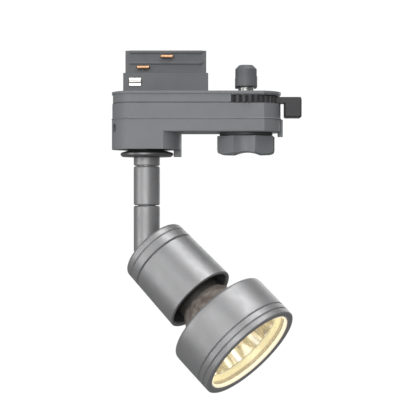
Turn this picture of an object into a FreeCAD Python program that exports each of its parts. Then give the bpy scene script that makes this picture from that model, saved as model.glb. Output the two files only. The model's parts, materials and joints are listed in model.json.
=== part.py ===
import FreeCAD, Part
import math
import os
import re

import Sketcher

# Track spotlight: a three-circuit track adapter, a swivelling stem and a tilting head with a
# reflector lamp.  Millimetres, +Z up.  The origin is the middle of the adapter's seat, the face that
# rests against the underside of the track.  X runs along the track.

DIMENSIONS = {
    # adapter casing, seen from above: two end arcs joined by flat sides
    "axis_x": 25.3,              # stem axis at -X, lever and knob axis at +X
    "end_radius": 17.8,
    "half_width": 15.5,
    "plate_depth": 1.3,          # all depths are measured down from the seat
    "neck_inset": 0.5,
    "neck_depth": 5.9,
    "shell_top": 6.0,
    "shell_inset": 0.2,
    "bead_top": 13.3,
    "bead_out": 0.2,
    "bead_slope": 0.35,
    "shell_bottom": 13.9,
    "cover_top": 13.95,
    "beam_bottom": 20.5,
    "boss_bottom": 29.1,
    "lug_bottom": 32.7,
    "wall": 2.0,
    "deck": 1.6,
    "gap": 0.3,
    "running": 0.05,
    "screw_row": 11.7,
    "screw_radius": 1.4,
    "top_screw_x": 12.0,
    "cover_screw_x": 4.5,
    "grub_radius": 2.2,
    "grub_depth": 18.4,
    "grub_start": 9.4,           # distance of the grub screw's tail from the stem axis
    "grub_length": 5.0,
    "key_radius": 1.0,
    "key_depth": 1.2,
    "over": 1.0,                 # how far a cutting shape runs past the face it opens
    "fit": 0.1,                  # clearance round a part that sits still in a pocket
    "foot_inset": 1.1,
    "screw_head": 2.6,
    "countersunk_head": 2.45,
    "countersunk_height": 1.25,
    "countersink": 1.5,
    "head_hole": 2.7,
    "head_hole_depth": 1.2,
    "head_height": 1.0,
    "head_sunk": 0.15,
    "driver_slot": 0.6,
    "driver_depth": 0.5,
    "top_screw_end": 9.0,
    "cover_screw_length": 10.0,
    "post_radius": 2.6,
    "pilot_depth": 5.0,
    "cable_hole": 2.0,
    "cover_fillet": 0.6,
    "end_tab_thick": 2.4,
    "end_tab_half": 3.0,
    "end_tab_out": 0.8,
    "end_tab_drop": 2.0,
    # swivel stop lug under the boss
    "lug_inner": 14.1,
    "lug_angle": 28.0,
    # insert that goes up into the track
    "flange_out": 1.5,
    "rib_setback": 1.0,
    "shelf_setback": 3.0,
    "shelf_out": 1.2,
    "shelf_thick": 1.2,
    "low_shelf": 14.3,
    "contact_root": 1.5,
    "earth_setback": 3.0,
    "earth_length": 6.0,
    "earth_low": 3.0,
    "earth_tall": 4.0,
    "earth_thick": 0.8,
    "earth_sunk": 0.5,
    "earth_bulge": 0.7,
    "insert_left": 37.0,
    "insert_right": 6.0,
    "insert_half": 7.6,
    "insert_flange": 2.0,
    "insert_step": 9.5,
    "rib_half": 4.6,
    "insert_height": 21.0,
    "contact_length": 6.0,
    "contact_thick": 0.8,
    "contact_reach": 7.4,
    "contact_low": 12.0,
    "contact_high": 17.5,
    # terminal block and leads
    "block_start": 0.6,
    "block_length": 9.0,
    "block_half": 10.0,
    "block_height": 7.0,
    "terminal_x": 5.0,
    "terminal_pitch": 6.0,
    "terminal_hole": 1.0,
    "terminal_level": 14.0,
    "terminal_screw": 1.6,
    "well_radius": 1.7,
    "well_depth": 1.5,
    "lead_radius": 0.7,
    "lead_spread": 1.6,
    "lead_bend": 2.2,
    "lead_crest": 12.5,
    "lead_end": 19.5,
    "stem_lead_end": 6.2,
    # lock lever
    "disc_radius": 16.3,
    "disc_top": 2.2,
    "disc_thick": 3.6,
    "slot_top": 1.9,
    "serration": 11.25,
    "serration_depth": 1.3,
    "serration_half": 1.35,
    "tab_inner": 19.4,
    "tab_outer": 28.1,
    "tab_top": 2.7,
    "tab_bottom": 12.9,
    "tab_half": 5.5,
    "arm_half": 6.0,
    "tab_corner": 1.0,
    "shaft_radius": 4.0,
    "shaft_end": 9.6,
    "clip_groove_at": 0.8,
    "clip_groove": 0.9,
    "clip_groove_deep": 0.8,
    "clip_thick": 0.7,
    "clip_out": 2.0,
    "clip_gap_half": 1.5,
    "cam_bottom": 2.7,
    "cam_thick": 5.0,
    "cam_half": 7.0,
    "cam_end": 5.5,
    "cam_hub": 12.0,
    "cam_nose": 2.0,
    "arm_root": 2.0,
    # phase selector
    "knob_radius": 15.3,
    "knob_top": 22.3,
    "knob_bottom": 31.7,
    "knob_turn": -5.5,
    "scallop_radius": 9.0,
    "scallop_centre": 21.4,
    "lobe_flat": 14.0,
    "scoop_radius": 15.0,
    "scoop_depth": 1.5,
    "knob_fillet": 2.4,
    "hub_radius": 9.0,
    "hub_drop": 1.7,
    "knob_socket": 5.0,
    "knob_screw_radius": 1.2,
    "knob_screw_head": 2.2,
    "knob_screw_head_height": 1.2,
    "knob_screw_sunk": 0.2,
    "knob_screw_length": 7.0,
    "selector_washer_radius": 7.0,
    "selector_washer_thick": 0.8,
    "wiper_thick": 0.8,
    "wiper_sweep": 40.0,
    "wiper_inner": 2.0,
    "wiper_nose": 1.1,
    "stud_radius": 1.4,
    "stud_length": 5.4,
    "collar_radius": 13.5,
    "collar_thick": 1.35,
    "rotor_radius": 8.5,
    "rotor_top": 11.2,
    "rotor_bottom": 17.3,
    "selector_shaft": 3.0,
    "stud_circle": 11.6,
    # stem
    "stem_radius": 6.7,
    "nipple_radius": 5.0,
    "nipple_bore": 3.4,
    "nipple_top": 18.5,
    "nipple_bottom": 45.0,
    "boss_floor": 3.0,
    "rosette_radius": 13.4,
    "rosette_top": 29.7,
    "rosette_edge": 30.6,
    "rosette_bottom": 32.75,
    "rosette_flat": 10.2,
    "rosette_chamfer": 0.9,
    "rosette_soft": 0.4,
    "tooth_half": 1.3,
    "tooth_length": 3.2,
    "tooth_root": 0.8,
    "tooth_thick": 1.0,
    "swivel_washer": 0.5,
    "swivel_washer_inset": 0.7,
    "friction_radius": 10.0,
    "friction_thick": 1.0,
    "spring_radius": 8.0,
    "spring_thick": 1.1,
    "nut_radius": 8.1,
    "nut_height": 3.2,
    "collar_top": 32.8,
    "groove_one": 37.4,
    "groove_two": 57.5,
    "groove_gap": 0.15,
    "groove_chamfer": 0.6,
    "knuckle_bottom": 81.4,
    "knuckle_chamfer": 0.8,
    "spigot_radius": 4.6,
    "spigot_length": 5.0,
    # tilt hinge
    "pivot_depth": 76.0,
    "azimuth": 30.2,             # head direction seen from above, towards -Y
    "droop": 41.8,               # head direction below the horizontal
    "knuckle_round": 6.4,
    "slot_half": 2.45,
    "slot_reach": 5.4,
    "tongue_half": 2.0,
    "tongue_round": 5.0,
    "pin_radius": 1.95,
    "washer_thick": 0.4,
    "hinge_washer": 4.6,
    "hinge_head": 3.0,
    "hinge_head_height": 1.2,
    "hinge_head_sunk": 0.65,
    "hinge_end": 1.0,            # wall left in front of the hinge screw's tip
    "hinge_slot": 0.8,
    # head, measured along its axis from the pivot
    "rear_face": 5.3,
    "recess_radius": 10.0,
    "recess_floor": 7.8,
    "cap_floor": 11.0,
    "cap_groove": 9.6,
    "cap_end": 14.5,
    "cap_radius": 17.9,
    "cap_end_radius": 18.16,
    "cap_groove_half": 0.4,
    "cap_groove_depth": 0.25,
    "cap_flare": 0.1,
    "cap_chamfer": 0.5,
    "cap_pilot": 2.5,
    "spigot_end": 19.0,
    "spigot_wall": 1.8,
    "tube_start": 14.7,
    "tube_end": 42.7,
    "tube_bore": 17.0,
    "tube_end_radius": 18.95,
    "tube_edge": 0.4,
    "rear_fillet": 1.7,
    "lead_x": 7.2,
    "lead_hole": 1.6,
    "earth_screw_y": 13.0,
    "earth_head": 2.0,
    "earth_head_height": 1.4,
    "earth_pilot": 3.0,
    # lamp holder and lamp
    "socket_radius": 13.0,
    "socket_flat": 10.6,
    "socket_screw_x": 9.6,
    "socket_start": 12.1,
    "socket_end": 27.2,
    "socket_screw_seat": 20.0,
    "socket_screw_head": 1.8,
    "socket_lead": 0.6,
    "socket_lead_apart": 0.75,
    "socket_lead_start": 7.0,
    "socket_lead_length": 7.0,
    "bracket_thick": 1.0,
    "leaf_radius": 7.8,
    "leaf_thick": 0.9,
    "leaf_core": 2.3,
    "pin_circle": 5.0,
    "chamber_radius": 8.2,
    "chamber_core": 1.9,
    "keyway_half": 1.6,
    "chamber_start": 18.2,
    "chamber_end": 24.4,
    "pin_head": 2.5,
    "pin_head_height": 2.2,
    "pin_shank": 1.3,
    "pin_start": 19.6,
    "base_start": 27.5,
    "base_end": 44.6,
    "base_radius": 12.0,
    "base_chamfer": 1.5,
    "lamp_radius": 25.0,
    "lamp_rim": 78.7,
    "glass_wall": 1.5,
    "bowl_neck": 0.225,          # squared neck radius as a share of the squared mouth radius
    "bowl_curve": 1.25,
    "bowl_reach": 34.4,
    "front_glass_gap": 0.4,
    "front_glass_thick": 1.4,
    "front_glass_set": 1.6,
    "capsule_radius": 4.2,
    "capsule_start": 48.0,
    "capsule_length": 15.0,
    "capsule_tip": 4.0,
    "tip_radius": 1.0,
    "capsule_wall": 1.0,
    "hollow_start": 50.0,
    "hollow_length": 12.0,
    "pinch_half": 3.5,
    "pinch_thick": 3.0,
    "pinch_height": 4.0,
    "filament_radius": 0.6,
    "filament_start": 52.5,
    "filament_length": 7.0,
    # front ring
    "ring_start": 55.7,
    "ring_end": 80.9,
    "ring_radius": 27.9,
    "ring_bore": 25.3,
    "lip_radius": 24.3,
    "lip_start": 79.3,
    "ring_groove_one": 74.1,
    "ring_groove_two": 77.6,
    "ring_groove_half": 0.45,
    "ring_groove_depth": 0.5,
    "ring_rear_step": 0.2,
    "ring_taper": 3.0,
    "ring_fillet": 1.5,
    "ring_edge": 0.5,
    "ring_edge_slope": 0.1,
    "lip_chamfer": 0.8,
    "clip_at": 67.3,
    "clip_half": 0.8,
    "clip_recess": 0.6,
    "clip_radius": 0.6,
    "clip_inset": 0.1,
    "clip_gap": 2.5,
}

doc = FreeCAD.newDocument("TrackSpotlight")
sheet = doc.addObject("Spreadsheet::Sheet", "Dims")
for row, (alias, value) in enumerate(DIMENSIONS.items(), start=1):
    sheet.set(f"A{row}", alias)
    sheet.set(f"B{row}", str(value))
    sheet.setAlias(f"B{row}", alias)
doc.recompute()

ORIGIN = ("0", "0", "0")
SCREW_ROWS = ("screw_row", "-screw_row")
TERMINAL_ROWS = ("-terminal_pitch", "0", "terminal_pitch")
LEAD_ROWS = ("-lead_spread", "0", "lead_spread")
SOCKET_SCREWS = ("socket_screw_x", "-socket_screw_x")
GRUB_ANGLE = -156
WIPER_START = -20
# where the casing leads bend, as shares of the way from the origin to the stem axis
LEAD_BENDS = (0.237, 0.474)
# lamp holder, as angles about the beam from each pin's place
CHAMBER_FROM, CHAMBER_SWEEP = -40, "105"
LEAF_FROM, LEAF_SWEEP = -36, "97"
KEYWAY_FROM, KEYWAY_SWEEP = -22, "47"
PIN_ENTRY = 25
# depths of the lamp bowl's profile points, as shares of its whole depth
BOWL_DEPTHS = (1, 0.9, 0.76, 0.6, 0.42, 0.22, 0.08, 0)
# leaf contacts: where each starts along X, which side it faces, and its height
CONTACTS = {
    "line_one": ("-30", -1, "contact_low"),
    "line_two": ("-18", -1, "contact_high"),
    "line_three": ("-22", 1, "contact_low"),
    "neutral": ("-10", 1, "contact_high"),
}
ALONG_X = FreeCAD.Rotation(FreeCAD.Vector(0, 1, 0), 90)
ALONG_Y = FreeCAD.Rotation(FreeCAD.Vector(1, 0, 0), -90)
nodes = []


# ---------------------------------------------------------------- building helpers

def formula(text):
    """A formula in plain aliases, such as "wall + gap", with each alias pointed at the sheet."""
    return re.sub(
        r"[a-z][a-z_]*",
        lambda word: "Dims." + word.group() if word.group() in DIMENSIONS else word.group(),
        text,
    )


def bind(obj, **formulas):
    """Bind properties of an object to formulas."""
    for name, text in formulas.items():
        obj.setExpression(name, formula(text))
    return obj


def put(obj, at=ORIGIN, rotation=None):
    """Place an object: a rotation, then a position given as three formulas."""
    if rotation is not None:
        obj.Placement = FreeCAD.Placement(FreeCAD.Vector(), rotation)
    for axis, text in zip("xyz", at):
        if text != "0":
            obj.setExpression(f"Placement.Base.{axis}", formula(text))
    return obj


def turn(degrees):
    """A rotation about Z."""
    return FreeCAD.Rotation(FreeCAD.Vector(0, 0, 1), degrees)


def radial(degrees):
    """A rotation that lays Z along the horizontal direction at this angle from X."""
    return turn(degrees).multiply(ALONG_X)


def cylinder(radius, height, at=ORIGIN, rotation=None, angle="360"):
    obj = doc.addObject("Part::Cylinder", "Cylinder")
    bind(obj, Radius=radius, Height=height, Angle=angle)
    return put(obj, at, rotation)


def cone(radius_low, radius_high, height, at=ORIGIN, rotation=None):
    obj = doc.addObject("Part::Cone", "Cone")
    bind(obj, Radius1=radius_low, Radius2=radius_high, Height=height)
    return put(obj, at, rotation)


def box(length, width, height, at=ORIGIN, rotation=None):
    obj = doc.addObject("Part::Box", "Box")
    bind(obj, Length=length, Width=width, Height=height)
    return put(obj, at, rotation)


def fuse(*shapes):
    obj = doc.addObject("Part::MultiFuse", "Fuse")
    obj.Shapes = list(shapes)
    obj.Refine = True
    return obj


def common(*shapes):
    obj = doc.addObject("Part::MultiCommon", "Common")
    obj.Shapes = list(shapes)
    return obj


def cut(base, *tools):
    obj = doc.addObject("Part::Cut", "Cut")
    obj.Base = base
    obj.Tool = tools[0] if len(tools) == 1 else fuse(*tools)
    obj.Refine = True
    return obj


def group(*shapes):
    """Several separate pieces of the same kind as one node."""
    obj = doc.addObject("Part::Compound", "Group")
    obj.Links = list(shapes)
    return obj


def node(name, obj, placement=None):
    """Name a finished sub-part, and place it when it was drawn in the head's own frame."""
    obj.Label = name
    if placement is not None:
        obj.Placement = placement
    nodes.append(obj)
    return obj


def new_body(name):
    return doc.addObject("PartDesign::Body", name)


def sketch_on(body, plane, depth="0"):
    """A sketch on one of the body's own origin planes, offset along the plane's normal."""
    sketch = body.newObject("Sketcher::SketchObject", body.Name + "_sketch")
    face = next(f for f in body.Origin.OriginFeatures if f.Role == plane)
    sketch.AttachmentSupport = [(face, "")]
    sketch.MapMode = "FlatFace"
    if depth != "0":
        sketch.setExpression("AttachmentOffset.Base.z", formula(depth))
    return sketch


def fix(sketch, kind, element, point, text):
    """Hold one point of a sketch at a coordinate given as a formula."""
    if text == "0":
        axis = -2 if kind == "DistanceX" else -1
        sketch.addConstraint(Sketcher.Constraint("PointOnObject", element, point, axis))
        return
    index = sketch.addConstraint(Sketcher.Constraint(kind, -1, 1, element, point, 1.0))
    sketch.setExpression(f"Constraints[{index}]", formula(text))


def polygon(sketch, points):
    """A closed outline of straight edges through (across, up) points given as formulas."""
    count = len(points)
    start = [
        FreeCAD.Vector(5 + math.cos(2 * math.pi * i / count), math.sin(2 * math.pi * i / count), 0)
        for i in range(count)
    ]
    for i in range(count):
        sketch.addGeometry(Part.LineSegment(start[i], start[(i + 1) % count]))
    for i in range(count):
        sketch.addConstraint(Sketcher.Constraint("Coincident", i, 2, (i + 1) % count, 1))
    for i, (across, up) in enumerate(points):
        fix(sketch, "DistanceX", i, 1, across)
        fix(sketch, "DistanceY", i, 1, up)


def turned(name, points):
    """A body turned about Z from an outline of (radius, height) points."""
    body = new_body(name)
    sketch = sketch_on(body, "XZ_Plane")
    polygon(sketch, points)
    feature = body.newObject("PartDesign::Revolution", name + "_turned")
    feature.Profile = sketch
    feature.ReferenceAxis = (sketch, ["V_Axis"])
    feature.Angle = 360
    doc.recompute()
    return body


def edges_of(feature, wanted):
    """Names of the feature's edges for which wanted(edge) is true."""
    edges = feature.Shape.Edges
    return [f"Edge{i}" for i, edge in enumerate(edges, start=1) if wanted(edge)]


def dress_edges(body, kind, size_name, size, wanted):
    """Fillet or chamfer the chosen edges of a PartDesign body's last feature."""
    doc.recompute()
    tip = body.Tip
    feature = body.newObject("PartDesign::" + kind, body.Name + "_" + kind)
    feature.Base = (tip, edges_of(tip, wanted))
    bind(feature, **{size_name: size})
    doc.recompute()
    return body


def round_edges(body, radius, wanted):
    return dress_edges(body, "Fillet", "Radius", radius, wanted)


def slope_edges(body, size, wanted):
    return dress_edges(body, "Chamfer", "Size", size, wanted)


def circle_edge(radius, height):
    """A test for a full circle of this radius about Z at this height."""
    def wanted(edge):
        curve = edge.Curve
        return (
            isinstance(curve, Part.Circle)
            and abs(curve.Radius - radius) < 0.01
            and abs(curve.Center.z - height) < 0.01
        )
    return wanted


def dim(alias):
    """A driving dimension as a number."""
    return float(sheet.get(alias))


# ---------------------------------------------------------------- adapter casing

def casing_outline(sketch, inset):
    """The casing seen from above: flat sides and two end arcs, drawn in by an inset."""
    radius = dim("end_radius")
    half = dim("half_width")
    far = dim("axis_x") + math.sqrt(radius ** 2 - half ** 2)
    reach = math.atan2(half, far - dim("axis_x"))
    vector = FreeCAD.Vector
    right = Part.Circle(vector(dim("axis_x"), 0, 0), vector(0, 0, 1), radius)
    left = Part.Circle(vector(-dim("axis_x"), 0, 0), vector(0, 0, 1), radius)
    sketch.addGeometry(Part.LineSegment(vector(far, half, 0), vector(-far, half, 0)))
    sketch.addGeometry(Part.ArcOfCircle(left, math.pi - reach, math.pi + reach))
    sketch.addGeometry(Part.LineSegment(vector(-far, -half, 0), vector(far, -half, 0)))
    sketch.addGeometry(Part.ArcOfCircle(right, -reach, reach))
    for first, end, second, start in ((0, 2, 1, 1), (1, 2, 2, 1), (2, 2, 3, 1), (3, 2, 0, 1)):
        sketch.addConstraint(Sketcher.Constraint("Coincident", first, end, second, start))
    sketch.addConstraint(Sketcher.Constraint("Horizontal", 0))
    sketch.addConstraint(Sketcher.Constraint("Horizontal", 2))
    fix(sketch, "DistanceY", 0, 1, f"half_width - ({inset})")
    fix(sketch, "DistanceY", 2, 1, f"-half_width + ({inset})")
    for arc, centre in ((1, "-axis_x"), (3, "axis_x")):
        fix(sketch, "DistanceX", arc, 3, centre)
        fix(sketch, "DistanceY", arc, 3, "0")
        index = sketch.addConstraint(Sketcher.Constraint("Radius", arc, radius))
        sketch.setExpression(f"Constraints[{index}]", formula(f"end_radius - ({inset})"))


def casing_slab(name, inset, top, bottom):
    """A slab with the casing's outline between two depths."""
    body = new_body(name)
    sketch = sketch_on(body, "XY_Plane", f"-({bottom})")
    casing_outline(sketch, inset)
    pad = body.newObject("PartDesign::Pad", name + "_pad")
    pad.Profile = sketch
    bind(pad, Length=f"{bottom} - ({top})")
    doc.recompute()
    return body


def make_top_plate():
    """Seat plate and neck, with a window for the insert and a round slot for the lever's disc."""
    plate = casing_slab("PlateSlab", "0", "0", "plate_depth")
    neck = casing_slab("NeckSlab", "neck_inset", "plate_depth", "neck_depth - gap")
    foot = casing_slab("NeckFoot", "foot_inset", "neck_depth - gap", "neck_depth")
    window = box(
        "insert_left + insert_right + 2 * fit", "2 * insert_half + 2 * fit", "neck_depth + 2 * over",
        ("-insert_left - fit", "-insert_half - fit", "-neck_depth - over"),
    )
    flange_room = box(
        "insert_left + insert_right + 2 * over + 2 * fit",
        "2 * insert_half + 2 * flange_out + 2 * fit", "insert_flange + over",
        ("-insert_left - over - fit", "-insert_half - flange_out - fit", "-neck_depth - over + fit"),
    )
    disc_room = fuse(
        cylinder("disc_radius + 2 * gap", "neck_depth - slot_top + over", ("axis_x", "0", "-neck_depth - over")),
        box("end_radius", "2 * end_radius", "neck_depth - slot_top + over",
            ("axis_x + arm_half", "-end_radius", "-neck_depth - over")),
    )
    shaft_hole = cylinder("shaft_radius + running", "slot_top + 2 * over", ("axis_x", "0", "-slot_top - over"))
    screw_holes = [
        fuse(
            cylinder("screw_radius + fit", "neck_depth + 2 * over", ("-top_screw_x", y, "-neck_depth - over")),
            cone("screw_radius + fit", "head_hole", "countersink", ("-top_screw_x", y, "-countersink")),
        )
        for y in SCREW_ROWS
    ]
    body = fuse(plate, neck, foot)
    return node("top_plate", cut(body, window, flange_room, disc_room, shaft_hole, *screw_holes))


def make_main_housing():
    """Upper casing shell: a deck under the neck, walls, and a bead along its lower edge."""
    shell = casing_slab("ShellSlab", "shell_inset", "shell_top", "bead_top")
    bead = casing_slab("BeadSlab", "-bead_out", "bead_top", "shell_bottom")
    slope_edges(bead, "bead_slope", lambda edge: abs(edge.BoundBox.ZMin + dim("bead_top")) < 0.01)
    hollow = casing_slab("ShellHollow", "wall", "shell_top + deck", "shell_bottom + over")
    below_deck = "-shell_top - deck - over"
    shaft_hole = cylinder("shaft_radius + running", "deck + 2 * over", ("axis_x", "0", below_deck))
    cable_hole = cylinder("cable_hole", "deck + 2 * over", ("0", "0", below_deck))
    shell_cut = cut(fuse(shell, bead), hollow, shaft_hole, cable_hole)
    posts = [
        cylinder("post_radius", "shell_bottom - shell_top - over", (x, y, "-shell_bottom"))
        for x in ("-top_screw_x", "-cover_screw_x") for y in SCREW_ROWS
    ]
    pilots = [
        cylinder("screw_radius", "shell_bottom", ("-top_screw_x", y, "-shell_bottom - over"))
        for y in SCREW_ROWS
    ] + [
        cylinder("screw_radius", "pilot_depth + over", ("-cover_screw_x", y, "-shell_bottom - over"))
        for y in SCREW_ROWS
    ]
    return node("main_housing", cut(fuse(shell_cut, *posts), *pilots))


def make_lower_cover():
    """Lower casing: the beam, the deep boss round the stem, the stop lug and the end tongue."""
    beam = casing_slab("BeamSlab", "0", "cover_top", "beam_bottom")
    round_edges(beam, "cover_fillet", lambda edge: abs(edge.BoundBox.ZMax + dim("beam_bottom")) < 0.01)
    block = box(
        "2 * end_radius", "2 * half_width", "boss_bottom - cover_top - over",
        ("-axis_x - end_radius", "-half_width", "-boss_bottom"),
    )
    boss = common(block, cylinder("end_radius", "boss_bottom - cover_top", ("-axis_x", "0", "-boss_bottom")))
    lug_ring = cylinder(
        "end_radius", "lug_bottom - boss_bottom + over", ("-axis_x", "0", "-lug_bottom"),
        turn(-dim("lug_angle") / 2), "lug_angle",
    )
    lug = cut(
        lug_ring,
        cylinder("lug_inner", "lug_bottom - boss_bottom + 3 * over", ("-axis_x", "0", "-lug_bottom - over")),
    )
    end_tab = box(
        "end_tab_thick", "2 * end_tab_half", "beam_bottom + end_tab_drop - cover_top",
        ("axis_x + end_radius + end_tab_out - end_tab_thick", "-end_tab_half", "-beam_bottom - end_tab_drop"),
    )
    hub = cylinder("hub_radius", "hub_drop + fit", ("axis_x", "0", "-beam_bottom - hub_drop"))
    hollow = casing_slab("CoverHollow", "wall", "cover_top - over", "beam_bottom - wall")
    well_height = "boss_bottom - boss_floor - cover_top + over"
    well_box = box(
        "2 * end_radius", "2 * half_width - 2 * wall", well_height,
        ("-axis_x - end_radius", "-half_width + wall", "-boss_bottom + boss_floor"),
    )
    well = common(
        well_box,
        cylinder("end_radius - wall", well_height, ("-axis_x", "0", "-boss_bottom + boss_floor")),
    )
    nipple_hole = cylinder(
        "nipple_radius + running", "boss_floor + 2 * over", ("-axis_x", "0", "-boss_bottom - over")
    )
    selector_hole = cylinder(
        "selector_shaft + running", "wall + hub_drop + 2 * over", ("axis_x", "0", "-beam_bottom - hub_drop - over")
    )
    screw_holes = [
        fuse(
            cylinder("screw_radius + fit", "wall + 2 * over", ("-cover_screw_x", y, "-beam_bottom - over")),
            cylinder("head_hole", "head_hole_depth + over", ("-cover_screw_x", y, "-beam_bottom - over")),
        )
        for y in SCREW_ROWS
    ]
    side_hole = cut(
        cylinder("grub_radius", "end_radius + over", ("-axis_x", "0", "-grub_depth"), radial(GRUB_ANGLE)),
        cylinder("grub_start - gap", "4 * grub_radius", ("-axis_x", "0", "-grub_depth - 2 * grub_radius")),
    )
    solid = fuse(beam, boss, lug, end_tab, hub)
    return node(
        "lower_cover",
        cut(solid, hollow, well, nipple_hole, selector_hole, side_hole, *screw_holes),
    )


def driver_slot(x, y, face):
    """A slot for a screwdriver, cut along X into a screw head's end face at this height."""
    return box(
        "2 * head_hole", "driver_slot", "2 * driver_depth",
        (f"{x} - head_hole", f"{y} - driver_slot / 2", f"{face} - driver_depth"),
    )


def make_top_screws():
    """Countersunk screws from the seat plate down into the housing's posts."""
    x = "-top_screw_x"
    screws = []
    for y in SCREW_ROWS:
        shank = cylinder("screw_radius", "top_screw_end - countersunk_height", (x, y, "-top_screw_end"))
        head = cone("screw_radius", "countersunk_head", "countersunk_height",
                    (x, y, "-head_sunk - countersunk_height"))
        screws.append(cut(fuse(shank, head), driver_slot(x, y, "-head_sunk")))
    node("top_screws", group(*screws))


def make_cover_screws():
    """Cylinder-head screws from the lower cover up into the housing's posts."""
    x, face = "-cover_screw_x", "-beam_bottom + fit"
    screws = []
    for y in SCREW_ROWS:
        shank = cylinder("screw_radius", "cover_screw_length", (x, y, f"{face} + head_height / 2"))
        head = cylinder("screw_head", "head_height", (x, y, face))
        screws.append(cut(fuse(shank, head), driver_slot(x, y, face)))
    node("cover_screws", group(*screws))


def along_grub(distance):
    """The point on the grub screw's axis at this distance from the stem axis."""
    point = turn(GRUB_ANGLE).multVec(FreeCAD.Vector(distance, 0, 0))
    return f"-axis_x + ({point.x})", f"{point.y}", "-grub_depth"


def make_grub_screw():
    """Grub screw in the side of the boss that clamps the swivel."""
    tail = dim("grub_start")
    tip = tail + dim("grub_length")
    body = cylinder("grub_radius - fit", "grub_length", along_grub(tail), radial(GRUB_ANGLE))
    key = cylinder("key_radius", "key_depth + over", along_grub(tip - dim("key_depth")), radial(GRUB_ANGLE))
    return node("swivel_grub_screw", cut(body, key))


# ---------------------------------------------------------------- track insert and contacts

def make_contact_carrier():
    """Insulating insert: a wide foot, a narrow rib above it, and pockets behind the contacts."""
    length = "insert_left + insert_right"
    flange = box(
        f"{length} + 2 * over", "2 * insert_half + 2 * flange_out", "insert_flange",
        ("-insert_left - over", "-insert_half - flange_out", "-neck_depth"),
    )
    foot = box(
        length, "2 * insert_half", "insert_step + neck_depth",
        ("-insert_left", "-insert_half", "-neck_depth"),
    )
    rib = box(
        f"{length} - 2 * rib_setback", "2 * rib_half", "insert_height - insert_step",
        ("-insert_left + rib_setback", "-rib_half", "insert_step"),
    )
    shelves = [
        box(
            f"{length} - 2 * shelf_setback", "2 * rib_half + 2 * shelf_out", "shelf_thick",
            ("-insert_left + shelf_setback", "-rib_half - shelf_out", z),
        )
        for z in ("low_shelf", "insert_height - shelf_thick")
    ]
    solid = fuse(flange, foot, rib, *shelves)
    pockets = [
        box(
            "contact_length + 2 * gap", "contact_root + fit + over", "contact_thick + 4 * fit",
            (f"{x} - gap", "rib_half - contact_root - fit" if side > 0 else "-rib_half - over", f"{z} - 2 * fit"),
        )
        for x, side, z in CONTACTS.values()
    ]
    earth_pockets = [
        box(
            "earth_length + 2 * gap", "earth_sunk + fit + over", "earth_tall + 2 * gap",
            ("-insert_left + earth_setback - gap", y, "earth_low - gap"),
        )
        for y in ("insert_half - earth_sunk - fit", "-insert_half - over")
    ]
    return node("contact_carrier", cut(solid, *pockets, *earth_pockets))


def make_contact(x, side, height):
    """A leaf contact: a flat root in the rib and a rounded nose outside it."""
    nose_y = "contact_reach - contact_thick / 2"
    if side < 0:
        nose_y = f"-({nose_y})"
    leaf = box(
        "contact_length", "contact_reach - contact_thick / 2 - rib_half + contact_root", "contact_thick",
        (x, "rib_half - contact_root" if side > 0 else nose_y, height),
    )
    nose = cylinder("contact_thick", "contact_length", (x, nose_y, f"{height} + contact_thick / 2"), ALONG_X)
    return fuse(leaf, nose)


def make_contacts():
    phases = [make_contact(*CONTACTS[key]) for key in ("line_one", "line_two", "line_three")]
    node("phase_contacts", group(*phases))
    node("neutral_contact", make_contact(*CONTACTS["neutral"]))
    clips = []
    start = "-insert_left + earth_setback"
    for leaf_y, nose_y in (
        ("insert_half - earth_sunk", "insert_half - earth_sunk + earth_bulge"),
        ("-insert_half + earth_sunk - earth_thick", "-insert_half + earth_sunk - earth_bulge"),
    ):
        leaf = box("earth_length", "earth_thick", "earth_tall", (start, leaf_y, "earth_low"))
        middle = "earth_low + earth_tall / 2"
        nose = cylinder("earth_bulge", "earth_length", (start, nose_y, middle), ALONG_X)
        clips.append(fuse(leaf, nose))
    node("earth_contacts", group(*clips))


# ---------------------------------------------------------------- wiring inside the casing

def make_terminal_block():
    """Screw terminal block with a clamp screw over each of its three lead holes."""
    floor = "-beam_bottom + wall + fit"
    block = box("block_length", "2 * block_half", "block_height", ("block_start", "-block_half", floor))
    seat = f"{floor} + block_height - well_depth"
    holes = [
        cylinder("terminal_hole", "block_length + 3 * over", ("block_start - over", y, "-terminal_level"), ALONG_X)
        for y in TERMINAL_ROWS
    ]
    wells = [cylinder("well_radius", "well_depth + over", ("terminal_x", y, seat)) for y in TERMINAL_ROWS]
    node("terminal_block", cut(block, *holes, *wells))
    screws = [
        cut(
            cylinder("terminal_screw", "well_depth + fit", ("terminal_x", y, seat)),
            driver_slot("terminal_x", y, f"{seat} + well_depth + fit"),
        )
        for y in TERMINAL_ROWS
    ]
    node("terminal_screws", group(*screws))


def tube(points, radius, bend):
    """A round lead along straight runs joined by tangent arcs of one radius."""
    vector = FreeCAD.Vector
    corners = [vector(*p) for p in points]
    edges = []
    start = corners[0]
    for before, corner, after in zip(corners, corners[1:], corners[2:]):
        inward = (before - corner).normalize()
        outward = (after - corner).normalize()
        half = inward.getAngle(outward) / 2
        reach = bend / math.tan(half)
        first = corner + inward * reach
        last = corner + outward * reach
        middle_way = (inward + outward).normalize()
        middle = corner + middle_way * (bend / math.sin(half) - bend)
        edges.append(Part.LineSegment(start, first).toShape())
        edges.append(Part.Arc(first, middle, last).toShape())
        start = last
    edges.append(Part.LineSegment(start, corners[-1]).toShape())
    path = Part.Wire(edges)
    direction = corners[1] - corners[0]
    section = Part.Wire(Part.Circle(corners[0], direction, radius).toShape())
    return path.makePipeShell([section], True, False)


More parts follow.
